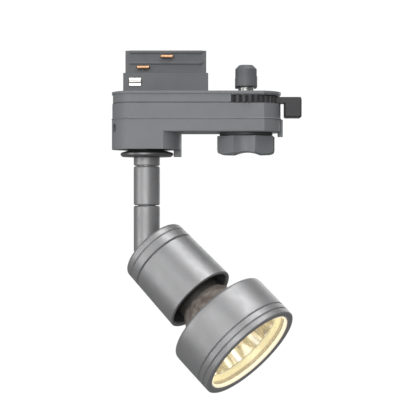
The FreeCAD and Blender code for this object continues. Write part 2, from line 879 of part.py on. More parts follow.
def make_leads():
    """Three leads from the terminal block, over the nut and down into the hollow nipple."""
    names = ("lead_live", "lead_neutral", "lead_earth")
    pitch, spread = dim("terminal_pitch"), dim("lead_spread")
    level, crest = -dim("terminal_level"), -dim("lead_crest")
    terminal_end = dim("block_start") - dim("fit")
    stem_x = -dim("axis_x")
    first_bend, second_bend = (stem_x * share for share in LEAD_BENDS)
    for name, side in zip(names, (-1, 0, 1)):
        lead = doc.addObject("Part::Feature", name)
        lead.Shape = tube(
            [
                (terminal_end, side * pitch, level), (first_bend, side * pitch, level),
                (second_bend, side * spread, crest), (stem_x, side * spread, crest),
                (stem_x, side * spread, -dim("lead_end")),
            ],
            dim("lead_radius"), dim("lead_bend"),
        )
        node(name, lead)


def make_stem_leads():
    """The same leads where they run down inside the stem."""
    leads = [
        cylinder(
            "lead_radius", "pivot_depth - stem_lead_end - lead_end - gap",
            ("-axis_x", y, "-pivot_depth + stem_lead_end"),
        )
        for y in LEAD_ROWS
    ]
    node("stem_leads", group(*leads))


# ---------------------------------------------------------------- lock lever

def make_lock_lever():
    """Serrated disc with an arm at its end that turns down into a finger tab."""
    body = new_body("LeverDisc")
    sketch = sketch_on(body, "XY_Plane")
    sketch.addGeometry(Part.Circle(FreeCAD.Vector(), FreeCAD.Vector(0, 0, 1), dim("disc_radius")))
    fix(sketch, "DistanceX", 0, 3, "0")
    fix(sketch, "DistanceY", 0, 3, "0")
    index = sketch.addConstraint(Sketcher.Constraint("Radius", 0, dim("disc_radius")))
    sketch.setExpression(f"Constraints[{index}]", formula("disc_radius"))
    pad = body.newObject("PartDesign::Pad", "DiscPad")
    pad.Profile = sketch
    bind(pad, Length="disc_thick")
    doc.recompute()
    solid_volume = body.Shape.Volume
    notch = sketch_on(body, "XY_Plane")
    polygon(notch, [
        ("disc_radius - serration_depth", "0"),
        ("disc_radius + over / 2", "serration_half"),
        ("disc_radius + over / 2", "-serration_half"),
    ])
    pocket = body.newObject("PartDesign::Pocket", "Notch")
    pocket.Profile = notch
    pocket.Type = 1
    pocket.Reversed = True
    doc.recompute()
    assert body.Shape.Volume < solid_volume - 1, "the serration cuts nothing"
    pattern = body.newObject("PartDesign::PolarPattern", "Serrations")
    pattern.Originals = [pocket]
    pattern.Axis = (sketch, ["N_Axis"])
    pattern.Angle = 360
    pattern.Occurrences = round(360 / dim("serration"))
    body.Tip = pattern
    doc.recompute()
    put(body, ("axis_x", "0", "-disc_top - disc_thick"))
    arm = box(
        "tab_outer - disc_radius + arm_root", "2 * tab_half", "disc_thick - 2 * gap",
        ("axis_x + disc_radius - arm_root", "-tab_half", "-disc_top - disc_thick + gap"),
    )
    plate = box(
        "tab_outer - tab_inner", "2 * tab_half", "tab_bottom - tab_top",
        ("axis_x + tab_inner", "-tab_half", "-tab_bottom"),
    )
    tab = doc.addObject("Part::Fillet", "TabRounded")
    tab.Base = plate
    doc.recompute()
    tab.Edges = [(i, dim("tab_corner"), dim("tab_corner")) for i in range(1, 13)]
    sweep_space = cylinder(
        "tab_inner", "tab_bottom", ("axis_x", "0", "-disc_top - disc_thick - 2 * fit - tab_bottom")
    )
    shaft_hole = cylinder("shaft_radius", "tab_bottom", ("axis_x", "0", "-tab_bottom"))
    round_end = cylinder("tab_outer", "tab_bottom", ("axis_x", "0", "-tab_bottom"))
    lever = cut(fuse(body, common(arm, round_end), tab), sweep_space, shaft_hole)
    return node("lock_lever", lever)


def make_lever_shaft():
    """Shaft through the lever, with a groove for its clip and a cam on its upper end."""
    shaft = cylinder("shaft_radius", "shaft_end + cam_bottom", ("axis_x", "0", "-shaft_end"))
    reach = "clip_groove_at + clip_groove + over"
    groove = cut(
        cylinder("shaft_radius + over", "clip_groove", ("axis_x", "0", "-shaft_end + clip_groove_at")),
        cylinder("shaft_radius - clip_groove_deep", reach, ("axis_x", "0", "-shaft_end")),
    )
    node("lever_shaft", cut(shaft, groove))
    clip = cut(
        cylinder("shaft_radius + clip_out", "clip_thick", ("axis_x", "0", "-shaft_end + clip_groove_at + fit")),
        cylinder("shaft_radius - clip_groove_deep + running", reach, ("axis_x", "0", "-shaft_end")),
        box("2 * shaft_radius", "2 * clip_gap_half", reach, ("axis_x", "-clip_gap_half", "-shaft_end")),
    )
    node("lever_clip", clip)
    ends = [
        cylinder("cam_end", "cam_thick", ("axis_x", y, "cam_bottom")) for y in ("cam_half", "-cam_half")
    ]
    bar = box("2 * cam_end", "2 * cam_half", "cam_thick", ("axis_x - cam_end", "-cam_half", "cam_bottom"))
    hub = cylinder("cam_end", "cam_hub - cam_bottom", ("axis_x", "0", "cam_bottom"))
    nose = cone("cam_end", "cam_end - cam_nose", "cam_nose", ("axis_x", "0", "cam_hub"))
    node("locking_cam", fuse(*ends, bar, hub, nose))


# ---------------------------------------------------------------- phase selector

def make_knob():
    """Four-lobed knob: finger scallops round its side and a cross scooped in its underside."""
    body = turned("KnobBlank", [
        ("0", "-knob_bottom"), ("knob_radius", "-knob_bottom"),
        ("knob_radius", "-knob_top"), ("0", "-knob_top"),
    ])
    round_edges(body, "knob_fillet", circle_edge(dim("knob_radius"), -dim("knob_bottom")))
    height, below = "knob_bottom - knob_top + 2 * over", "-knob_bottom - over"
    cutters = []
    for quarter in range(4):
        around = turn(dim("knob_turn") + 90 * quarter)
        centre = around.multVec(FreeCAD.Vector(0, -dim("scallop_centre"), 0))
        cutters.append(cylinder("scallop_radius", height, (f"{centre.x}", f"{centre.y}", below)))
    for quarter in range(2):
        around = turn(dim("knob_turn") + 90 * quarter)
        start = around.multVec(FreeCAD.Vector(0, -2 * dim("knob_radius"), 0))
        cutters.append(cylinder(
            "scoop_radius", "4 * knob_radius",
            (f"{start.x}", f"{start.y}", "-knob_bottom + scoop_depth - scoop_radius"),
            around.multiply(ALONG_Y),
        ))
    cutters.append(cylinder("selector_shaft", "knob_socket + over", ("0", "0", "-knob_top - knob_socket")))
    cutters.append(cylinder("knob_screw_radius + fit", height, ("0", "0", below)))
    cutters.append(cylinder(
        "knob_screw_head + 2 * fit", "scoop_depth + knob_screw_sunk + knob_screw_head_height + fit",
        ("0", "0", "-knob_bottom"),
    ))
    square = box("2 * lobe_flat", "2 * lobe_flat", height, ("-lobe_flat", "-lobe_flat", below))
    lobes = group(square)
    lobes.Placement = FreeCAD.Placement(FreeCAD.Vector(), turn(dim("knob_turn") + 45))
    knob = cut(common(body, lobes), *cutters)
    put(knob, ("axis_x", "0", "0"))
    node("phase_selector_knob", knob)


def make_selector():
    """Rotor inside the casing, its wiper, the screw that holds the knob, and the fixed studs."""
    shaft_end = "-knob_top - knob_socket"
    rotor = fuse(
        cylinder("rotor_radius", "rotor_bottom - rotor_top", ("axis_x", "0", "-rotor_bottom")),
        cylinder(
            "selector_shaft", "knob_top + knob_socket - rotor_bottom + 2 * fit", ("axis_x", "0", shaft_end)
        ),
    )
    pilot = cylinder("knob_screw_radius", "knob_socket + over", ("axis_x", "0", f"{shaft_end} - over / 2"))
    node("selector_rotor", cut(rotor, pilot))
    ring = cut(
        cylinder(
            "rotor_radius - over", "wiper_thick", ("axis_x", "0", "-rotor_top"), turn(WIPER_START), "wiper_sweep"
        ),
        cylinder("wiper_inner", "wiper_thick + 2 * over", ("axis_x", "0", "-rotor_top - over")),
    )
    nose = cylinder("wiper_nose", "wiper_thick", ("axis_x + rotor_radius - 4 * fit", "0", "-rotor_top"))
    node("selector_wiper", fuse(ring, nose))
    head_face = "-knob_bottom + scoop_depth + knob_screw_sunk"
    screw = fuse(
        cylinder("knob_screw_radius", "knob_screw_length", ("axis_x", "0", head_face)),
        cylinder("knob_screw_head", "knob_screw_head_height", ("axis_x", "0", head_face)),
    )
    node("knob_screw", cut(screw, driver_slot("axis_x", "0", head_face)))
    studs = []
    for quarter in range(4):
        spot = turn(90 * quarter + 45).multVec(FreeCAD.Vector(dim("stud_circle"), 0, 0))
        studs.append(cylinder(
            "stud_radius", "stud_length",
            (f"axis_x + ({spot.x})", f"{spot.y}", "-shell_top - deck - stud_length"),
        ))
    node("selector_studs", group(*studs))
    collar_bottom = "-beam_bottom - running - collar_thick"
    collar = cut(
        cylinder("collar_radius", "collar_thick", ("axis_x", "0", collar_bottom)),
        cylinder("hub_radius + running", "collar_thick + 2 * over", ("axis_x", "0", f"{collar_bottom} - over")),
    )
    node("selector_collar", collar)
    floor = "-beam_bottom + wall"
    washer = cut(
        cylinder("selector_washer_radius", "selector_washer_thick", ("axis_x", "0", floor)),
        cylinder("selector_shaft + fit", "selector_washer_thick + 2 * over", ("axis_x", "0", f"{floor} - over")),
    )
    node("selector_washer", washer)


# ---------------------------------------------------------------- stem

def make_rosette():
    """Dished flange under the boss, with the tooth that meets the stop lug."""
    disc = turned("RosetteDisc", [
        ("nipple_radius", "-rosette_bottom"), ("rosette_radius - rosette_chamfer", "-rosette_bottom"),
        ("rosette_radius", "-rosette_bottom + rosette_chamfer"),
        ("rosette_radius", "-rosette_edge - rosette_soft"),
        ("rosette_radius - rosette_soft", "-rosette_edge"), ("rosette_flat", "-rosette_top"),
        ("nipple_radius", "-rosette_top"),
    ])
    tooth = box(
        "2 * tooth_half", "tooth_length", "tooth_thick",
        ("-tooth_half", "rosette_radius - tooth_root", "-rosette_bottom + fit"),
    )
    rosette = fuse(disc, tooth)
    put(rosette, ("-axis_x", "0", "0"))
    node("rosette", rosette)


def ring_node(name, inner, outer, bottom, height):
    """A plain ring on the stem's axis."""
    ring = cut(
        cylinder(outer, height, ("-axis_x", "0", bottom)),
        cylinder(inner, f"{height} + 2 * over", ("-axis_x", "0", f"{bottom} - over")),
    )
    return node(name, ring)


def make_stem_fixings():
    """Hollow threaded nipple through the boss floor, and what clamps it there."""
    ring_node("stem_nipple", "nipple_bore", "nipple_radius", "-nipple_bottom",
              "nipple_bottom - nipple_top")
    ring_node("swivel_washer", "nipple_radius", "rosette_flat - swivel_washer_inset", "-rosette_top",
              "swivel_washer")
    floor = "-boss_bottom + boss_floor + running"
    ring_node("friction_washer", "nipple_radius", "friction_radius", floor, "friction_thick")
    ring_node("spring_washer", "nipple_radius", "spring_radius", f"{floor} + friction_thick", "spring_thick")
    prism = doc.addObject("Part::Prism", "HexNut")
    prism.Polygon = 6
    bind(prism, Circumradius="nut_radius", Height="nut_height")
    seat = f"{floor} + friction_thick + spring_thick"
    put(prism, ("-axis_x", "0", seat))
    nut = cut(prism, cylinder("nipple_radius", "nut_height + 2 * over", ("-axis_x", "0", f"{seat} - over")))
    node("nipple_nut", nut)


def make_stem():
    """Collar and tube of the stem, each with chamfered ends."""
    collar = turned("CollarBlank", [
        ("nipple_radius", "-collar_top"), ("stem_radius - gap", "-collar_top"),
        ("stem_radius", "-collar_top - gap"), ("stem_radius", "-groove_one + groove_chamfer"),
        ("stem_radius - groove_chamfer", "-groove_one + groove_gap"),
        ("nipple_radius", "-groove_one + groove_gap"),
    ])
    put(collar, ("-axis_x", "0", "0"))
    node("stem_collar", collar)
    top, bottom, step = "-groove_one - groove_gap", "-groove_two + groove_gap", "-nipple_bottom - gap"
    tube_body = turned("TubeBlank", [
        ("nipple_radius", top), ("stem_radius - groove_chamfer", top),
        ("stem_radius", f"{top} - groove_chamfer"), ("stem_radius", f"{bottom} + groove_chamfer"),
        ("stem_radius - groove_chamfer", bottom), ("nipple_bore", bottom),
        ("nipple_bore", step), ("nipple_radius", step),
    ])
    end = "-groove_two - spigot_length"
    spigot = cut(
        cylinder("spigot_radius", "spigot_length + over", ("0", "0", end)),
        cylinder("nipple_bore", "spigot_length + 3 * over", ("0", "0", f"{end} - over")),
    )
    stem_tube = fuse(tube_body, spigot)
    put(stem_tube, ("-axis_x", "0", "0"))
    node("stem_tube", stem_tube)


def make_knuckle():
    """Slotted end of the stem: square at the back, rounded about the hinge at the front."""
    top = "-groove_two - groove_gap"
    blank = turned("KnuckleBlank", [
        ("0", top), ("stem_radius - groove_chamfer", top), ("stem_radius", f"{top} - groove_chamfer"),
        ("stem_radius", "-knuckle_bottom + knuckle_chamfer"),
        ("stem_radius - knuckle_chamfer", "-knuckle_bottom"), ("0", "-knuckle_bottom"),
    ])
    front = cut(
        box("2 * stem_radius", "4 * stem_radius", "2 * stem_radius",
            ("0", "-2 * stem_radius", "-pivot_depth - 2 * stem_radius")),
        cylinder("knuckle_round", "4 * stem_radius", ("0", "-2 * stem_radius", "-pivot_depth"), ALONG_Y),
    )
    slot = box(
        "slot_reach + 2 * stem_radius", "2 * slot_half", "4 * stem_radius",
        ("-slot_reach", "-slot_half", "-pivot_depth + slot_reach - 4 * stem_radius"),
    )
    pin_hole = cylinder(
        "pin_radius", "2 * stem_radius - hinge_end", ("0", "-stem_radius + hinge_end - fit", "-pivot_depth"), ALONG_Y
    )
    head_hole = cylinder(
        "hinge_head + fit", "3 * over",
        ("0", "stem_radius - hinge_head_sunk - hinge_head_height - running", "-pivot_depth"), ALONG_Y,
    )
    hinge_cuts = fuse(front, slot, pin_hole, head_hole)
    hinge_cuts.Placement = FreeCAD.Placement(FreeCAD.Vector(), turn(-dim("azimuth")))
    bore = cylinder(
        "nipple_bore", "pivot_depth - slot_reach - groove_two + over", ("0", "0", "-pivot_depth + slot_reach")
    )
    seat = cylinder(
        "spigot_radius", "spigot_length + 2 * fit", ("0", "0", "-groove_two - spigot_length - 2 * fit")
    )
    knuckle = cut(blank, hinge_cuts, bore, seat)
    put(knuckle, ("-axis_x", "0", "0"))
    node("stem_knuckle", knuckle)


def make_hinge_pin():
    """Hinge screw through the knuckle and the tongue, and a friction washer on each side."""
    shank = cylinder(
        "pin_radius - running", "2 * stem_radius - hinge_end - hinge_head_sunk - hinge_head_height / 2",
        ("0", "-stem_radius + hinge_end", "-pivot_depth"), ALONG_Y,
    )
    head_face = "stem_radius - hinge_head_sunk"
    head = cylinder(
        "hinge_head", "hinge_head_height", ("0", f"{head_face} - hinge_head_height", "-pivot_depth"), ALONG_Y
    )
    slot = box(
        "2 * hinge_head", "2 * driver_depth", "hinge_slot",
        ("-hinge_head", f"{head_face} - driver_depth", "-pivot_depth - hinge_slot / 2"),
    )
    hinge = FreeCAD.Placement(FreeCAD.Vector(-dim("axis_x"), 0, 0), turn(-dim("azimuth")))
    screw = cut(fuse(shank, head), slot)
    screw.Placement = hinge
    node("hinge_screw", screw)
    beside = "(slot_half + tongue_half - washer_thick) / 2"
    washers = [
        cut(
            cylinder("hinge_washer", "washer_thick", ("0", y, "-pivot_depth"), ALONG_Y),
            cylinder("pin_radius + running", "4 * stem_radius", ("0", "-2 * stem_radius", "-pivot_depth"), ALONG_Y),
        )
        for y in (beside, f"-({beside}) - washer_thick")
    ]
    pair = group(*washers)
    pair.Placement = hinge
    node("hinge_washers", pair)


# ---------------------------------------------------------------- head, drawn along +Z from the pivot

def head_placement():
    """Where the head's own frame stands: at the pivot, with its Z along the head's axis."""
    pivot = FreeCAD.Vector(-dim("axis_x"), 0, -dim("pivot_depth"))
    return FreeCAD.Placement(pivot, FreeCAD.Rotation(-dim("azimuth"), 90 + dim("droop"), 0))


def make_rear_cap():
    """Rear cap: a recess for the knuckle, a tongue on the hinge, a groove and a spigot."""
    cap = turned("CapBlank", [
        ("0", "recess_floor"), ("recess_radius", "recess_floor"), ("recess_radius", "rear_face"),
        ("cap_radius", "rear_face"), ("cap_radius + cap_flare", "cap_groove - cap_groove_half"),
        ("cap_radius - cap_groove_depth", "cap_groove"),
        ("cap_radius + cap_flare", "cap_groove + cap_groove_half"),
        ("cap_end_radius", "cap_end - cap_chamfer"), ("cap_end_radius - cap_chamfer", "cap_end"),
        ("tube_bore - fit", "cap_end"), ("tube_bore - fit", "spigot_end"),
        ("tube_bore - spigot_wall", "spigot_end"), ("tube_bore - spigot_wall", "cap_floor"),
        ("0", "cap_floor"),
    ])
    round_edges(cap, "rear_fillet", circle_edge(dim("cap_radius"), dim("rear_face")))
    tongue = fuse(
        box("2 * tongue_round", "2 * tongue_half", "recess_floor + over", ("-tongue_round", "-tongue_half", "0")),
        cylinder("tongue_round", "2 * tongue_half", ("0", "-tongue_half", "0"), ALONG_Y),
    )
    pin_hole = cylinder("pin_radius", "2 * recess_radius", ("0", "-recess_radius", "0"), ALONG_Y)
    lead_hole = cylinder(
        "lead_hole", "cap_floor - recess_floor + 2 * over", ("lead_x", "0", "recess_floor - over")
    )
    screw_holes = [
        cylinder("screw_radius + fit", "cap_pilot + over", (x, "0", "cap_floor - cap_pilot"))
        for x in SOCKET_SCREWS
    ]
    earth_hole = cylinder(
        "screw_radius + fit", "earth_pilot + over", ("0", "-earth_screw_y", "cap_floor - earth_pilot")
    )
    solid = cut(fuse(cap, tongue), pin_hole, lead_hole, earth_hole, *screw_holes)
    node("rear_cap", solid, head_placement())


def make_rear_housing():
    """Tapered tube that shields the lamp holder, open at the front."""
    housing = turned("HousingBlank", [
        ("tube_bore", "tube_start"), ("cap_end_radius - cap_chamfer", "tube_start"),
        ("cap_end_radius", "tube_start + cap_chamfer"), ("tube_end_radius", "tube_end - tube_edge"),
        ("tube_end_radius - tube_edge", "tube_end"), ("tube_bore + cap_chamfer", "tube_end"),
        ("tube_bore", "tube_end - 2 * cap_chamfer"),
    ])
    node("rear_housing", housing, head_placement())


def pin_chamber(first):
    """The room behind one pin's keyway: where the pin's head enters, turns and rests."""
    chamber = cut(
        cylinder("chamber_radius", "chamber_end - chamber_start", ("0", "0", "chamber_start"),
                 turn(first + CHAMBER_FROM), CHAMBER_SWEEP),
        cylinder("chamber_core", "socket_end", ("0", "0", "socket_start")),
    )
    depth, floor = "socket_end - chamber_end + 2 * over", "chamber_end - over"
    keyway = cut(
        cylinder("pin_circle + keyway_half", depth, ("0", "0", floor), turn(first + KEYWAY_FROM), KEYWAY_SWEEP),
        cylinder("pin_circle - keyway_half", "socket_end", ("0", "0", "socket_start")),
    )
    spot = turn(first + PIN_ENTRY).multVec(FreeCAD.Vector(dim("pin_circle"), 0, 0))
    entry = cylinder("pin_head + gap", depth, (f"{spot.x}", f"{spot.y}", floor))
    return [chamber, keyway, entry]


def make_lamp_holder():
    """Twist-lock ceramic lamp holder, its contacts, bracket, screws and leads."""
    flats = box(
        "4 * socket_radius", "2 * socket_flat", "socket_end", ("-2 * socket_radius", "-socket_flat", "cap_floor")
    )
    blank = common(
        cylinder("socket_radius", "socket_end - socket_start", ("0", "0", "socket_start")), flats
    )
    cuts = [*pin_chamber(90), *pin_chamber(270)]
    for x in SOCKET_SCREWS:
        cuts.append(cylinder("screw_radius + 2 * fit", "socket_end", (x, "0", "cap_floor")))
        cuts.append(cylinder("screw_head + gap", "socket_screw_seat", (x, "0", "socket_screw_seat")))
    cuts.append(cylinder("lead_hole + fit", "3 * over", ("lead_x", "0", "socket_start - over")))
    node("lamp_socket", cut(blank, *cuts), head_placement())
    springs = [
        cut(
            cylinder("leaf_radius", "leaf_thick", ("0", "0", "chamber_start"), turn(first + LEAF_FROM), LEAF_SWEEP),
            cylinder("leaf_core", "leaf_thick + 2 * over", ("0", "0", "chamber_start - over")),
        )
        for first in (90, 270)
    ]
    node("socket_contacts", group(*springs), head_placement())
    below, through = "cap_floor - over", "bracket_thick + 2 * over"
    bracket = cut(
        common(cylinder("socket_radius", "bracket_thick", ("0", "0", "cap_floor")), flats),
        cylinder("lead_hole + gap", through, ("lead_x", "0", below)),
        *[cylinder("screw_radius + 2 * fit", through, (x, "0", below)) for x in SOCKET_SCREWS],
    )
    node("socket_bracket", bracket, head_placement())
    shank = "cap_floor - cap_pilot + fit"
    screws = [
        cut(
            fuse(
                cylinder("screw_radius", "socket_screw_seat - cap_floor + cap_pilot", (x, "0", shank)),
                cylinder("screw_head", "socket_screw_head", (x, "0", "socket_screw_seat")),
            ),
            driver_slot(x, "0", "socket_screw_seat + socket_screw_head"),
        )
        for x in SOCKET_SCREWS
    ]
    node("socket_screws", group(*screws), head_placement())
    earth = fuse(
        cylinder("screw_radius", "earth_pilot", ("0", "-earth_screw_y", "cap_floor - earth_pilot + 2 * fit")),
        cylinder("earth_head", "earth_head_height", ("0", "-earth_screw_y", "cap_floor")),
    )
    node("earth_screw", earth, head_placement())
    leads = [
        cylinder("socket_lead", "socket_lead_length", ("lead_x", y, "socket_lead_start"))
        for y in ("socket_lead_apart", "-socket_lead_apart")
    ]
    node("socket_leads", group(*leads), head_placement())


# ---------------------------------------------------------------- lamp and front ring

def bowl(name, points, inner_points):
    """A turned shell between an outer and an inner curve of (radius, height) points."""
    vector = FreeCAD.Vector
    outer = Part.BSplineCurve()
    outer.interpolate([vector(r, 0, z) for r, z in points])
    inner = Part.BSplineCurve()
    inner.interpolate([vector(r, 0, z) for r, z in inner_points])
    rim = Part.LineSegment(vector(*_at(points[-1])), vector(*_at(inner_points[-1])))
    heel = Part.LineSegment(vector(*_at(inner_points[0])), vector(*_at(points[0])))
    wire = Part.Wire([outer.toShape(), rim.toShape(), inner.toShape(), heel.toShape()])
    shell = Part.Face(wire).revolve(vector(), vector(0, 0, 1), 360)
    feature = doc.addObject("Part::Feature", name)
    feature.Shape = shell
    return feature


def _at(point):
    """A profile point as coordinates in the XZ plane."""
    radius, height = point
    return radius, 0, height


def make_lamp():
    """Reflector lamp: glass bowl, ceramic base, pins, capsule, filament and front glass."""
    rim, radius, wall = dim("lamp_rim"), dim("lamp_radius"), dim("glass_wall")
    neck, curve, reach = dim("bowl_neck"), dim("bowl_curve"), dim("bowl_reach")
    deepest = rim - dim("base_end") - dim("running")
    outer = []
    for depth in (deepest * share for share in BOWL_DEPTHS):
        rise = 1 - (depth / reach) ** curve
        outer.append((radius * math.sqrt(neck + (1 - neck) * rise), rim - depth))
    inner = [(r - wall, z) for r, z in outer]
    node("lamp_reflector", bowl("lamp_reflector", outer, inner), head_placement())
    base = turned("BaseBlank", [
        ("0", "base_start"), ("base_radius - base_chamfer", "base_start"),
        ("base_radius", "base_start + base_chamfer"), ("base_radius", "base_end"), ("0", "base_end"),
    ])
    node("lamp_base", base, head_placement())
    pins = []
    for y in ("pin_circle", "-pin_circle"):
        pins.append(fuse(
            cylinder("pin_head", "pin_head_height", ("0", y, "pin_start")),
            cylinder("pin_shank", "base_start - pin_start", ("0", y, "pin_start")),
        ))
    node("lamp_pins", group(*pins), head_placement())
    capsule = fuse(
        cylinder("capsule_radius", "capsule_length", ("0", "0", "capsule_start")),
        cone("capsule_radius", "tip_radius", "capsule_tip", ("0", "0", "capsule_start + capsule_length")),
        box("2 * pinch_half", "pinch_thick", "pinch_height",
            ("-pinch_half", "-pinch_thick / 2", "base_end + running")),
    )
    hollow = cylinder("capsule_radius - capsule_wall", "hollow_length", ("0", "0", "hollow_start"))
    node("halogen_capsule", cut(capsule, hollow), head_placement())
    coil = cylinder("filament_radius", "filament_length", ("0", "0", "filament_start"))
    node("filament", group(coil), head_placement())
    glass = cylinder(
        "lamp_radius - glass_wall - front_glass_gap", "front_glass_thick", ("0", "0", "lamp_rim - front_glass_set")
    )
    node("lamp_front_glass", group(glass), head_placement())


def make_front_ring():
    """Deep front ring round the lamp, with a rounded rear edge, two grooves and a lip."""
    grooves = []
    for middle in ("ring_groove_one", "ring_groove_two"):
        grooves += [
            ("ring_radius", f"{middle} - ring_groove_half"), ("ring_radius - ring_groove_depth", middle),
            ("ring_radius", f"{middle} + ring_groove_half"),
        ]
    seat = "ring_bore + clip_recess"
    ring = turned("RingBlank", [
        ("ring_bore", "ring_start"), ("ring_radius - ring_rear_step", "ring_start"),
        ("ring_radius", "ring_start + ring_taper"), *grooves,
        ("ring_radius - ring_edge_slope", "ring_end - ring_edge"),
        ("ring_radius - ring_edge_slope - ring_edge", "ring_end"),
        ("lip_radius + lip_chamfer", "ring_end"), ("lip_radius", "ring_end - lip_chamfer"),
        ("lip_radius", "lip_start"), ("ring_bore", "lip_start"),
        ("ring_bore", "clip_at + clip_half"), (seat, "clip_at + clip_half"),
        (seat, "clip_at - clip_half"), ("ring_bore", "clip_at - clip_half"),
    ])
    rear_edge = circle_edge(dim("ring_radius") - dim("ring_rear_step"), dim("ring_start"))
    round_edges(ring, "ring_fillet", rear_edge)
    node("front_ring", ring, head_placement())
    clip = doc.addObject("Part::Torus", "Clip")
    bind(clip, Radius1="ring_bore - clip_inset", Radius2="clip_radius")
    put(clip, ("0", "0", "clip_at"))
    gap = box(
        "ring_bore", "2 * clip_gap", "4 * clip_radius", ("ring_bore / 2", "-clip_gap", "clip_at - 2 * clip_radius")
    )
    node("lamp_retaining_clip", cut(clip, gap), head_placement())


# ---------------------------------------------------------------- the whole fitting

def main():
    make_top_plate()
    make_main_housing()
    make_lower_cover()
    make_top_screws()
    make_cover_screws()
    make_grub_screw()
    make_contact_carrier()
    make_contacts()
    make_terminal_block()
    make_leads()
    make_lock_lever()
    make_lever_shaft()
    make_knob()
    make_selector()
    make_rosette()
    make_stem_fixings()
    make_stem()
    make_knuckle()
    make_hinge_pin()
    make_stem_leads()
    make_rear_cap()
    make_rear_housing()
    make_lamp_holder()
    make_lamp()
    make_front_ring()
    doc.recompute()
    check_and_write()


def check_and_write():
    """Stop on any failed object, then write each sub-part to its own STEP file."""
    for obj in doc.Objects:
        if {"Invalid", "Error"} & set(obj.State):
            raise RuntimeError(f"{obj.Name} ({obj.Label}) failed: {obj.State}")
    for obj in nodes:
        if obj.Shape.isNull() or not obj.Shape.isValid() or not obj.Shape.Solids:
            raise RuntimeError(f"{obj.Label} has no valid shape")
    os.makedirs("parts", exist_ok=True)
    for obj in nodes:
        obj.Shape.exportStep(os.path.join("parts", obj.Label + ".step"))
        print(f"{obj.Label}: {len(obj.Shape.Solids)} solid(s), {obj.Shape.Volume:.1f} mm3")


main()
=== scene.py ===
"""The looks of a track spotlight on its CAD frame: materials, the lit lamp's fine pieces, and a studio."""

import json
import math
import random

import bpy
from mathutils import Matrix, Vector


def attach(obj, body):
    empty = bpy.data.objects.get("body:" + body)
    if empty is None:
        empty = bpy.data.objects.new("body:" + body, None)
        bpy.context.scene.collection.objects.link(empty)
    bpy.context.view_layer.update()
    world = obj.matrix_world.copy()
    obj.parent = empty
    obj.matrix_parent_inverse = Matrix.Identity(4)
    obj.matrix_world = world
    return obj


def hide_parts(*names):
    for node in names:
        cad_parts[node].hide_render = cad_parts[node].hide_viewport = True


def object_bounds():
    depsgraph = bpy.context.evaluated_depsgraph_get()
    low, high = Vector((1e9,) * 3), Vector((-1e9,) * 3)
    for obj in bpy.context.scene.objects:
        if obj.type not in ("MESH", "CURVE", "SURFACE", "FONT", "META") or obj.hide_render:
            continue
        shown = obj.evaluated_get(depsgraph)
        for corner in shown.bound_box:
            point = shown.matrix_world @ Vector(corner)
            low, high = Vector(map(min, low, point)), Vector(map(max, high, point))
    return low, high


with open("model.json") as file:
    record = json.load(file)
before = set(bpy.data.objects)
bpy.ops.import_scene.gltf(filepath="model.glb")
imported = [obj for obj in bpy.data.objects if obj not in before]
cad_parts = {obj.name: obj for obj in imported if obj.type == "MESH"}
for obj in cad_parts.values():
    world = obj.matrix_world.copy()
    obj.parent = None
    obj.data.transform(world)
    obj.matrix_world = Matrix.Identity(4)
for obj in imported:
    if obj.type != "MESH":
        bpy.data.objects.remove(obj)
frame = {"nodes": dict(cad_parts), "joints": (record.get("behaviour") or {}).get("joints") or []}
cad_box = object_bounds()

MM = 0.001
NODES = frame["nodes"]
JOINTS = {joint["name"]: joint for joint in frame["joints"]}

# The camera stands in front of the rail, level with the tilt joint, and looks straight across it.
CAMERA_PLACE = Vector((3.6, -765.5, -56.5)) * MM
CAMERA_LENS_MM = 132.7
SENSOR_MM = 36.0
CAMERA_NEAR = 0.01
CAMERA_FAR = 20.0


# ---------------------------------------------------------------------------------------------
# The lamp's own frame: Z runs along the beam, from the point where the twist joint sits.
# ---------------------------------------------------------------------------------------------


def lamp_frame():
    beam = Vector(JOINTS["lamp_twist"]["axis"]).normalized()
    across = Vector(JOINTS["head_tilt"]["axis"]).normalized()
    third = beam.cross(across)
    axes = Matrix((across, third, beam)).transposed().to_4x4()
    return Matrix.Translation(JOINTS["lamp_twist"]["pos_m"]) @ axes


LAMP = lamp_frame()
TO_LAMP = LAMP.inverted()


def along_beam(node):
    """(lowest height, highest height, widest radius) of a CAD node in the lamp's frame, in metres."""
    points = [TO_LAMP @ vertex.co for vertex in NODES[node].data.vertices]
    heights = [point.z for point in points]
    return min(heights), max(heights), max(math.hypot(point.x, point.y) for point in points)


# ---------------------------------------------------------------------------------------------
# Materials
# ---------------------------------------------------------------------------------------------


BEVEL_SAMPLES = 4
# how far the softened normal agrees with the true one: on a flat face, and where it counts as an edge
FLAT_MATCH = 0.995
EDGE_MATCH = 0.80
FLAKE_SIZE = 0.12


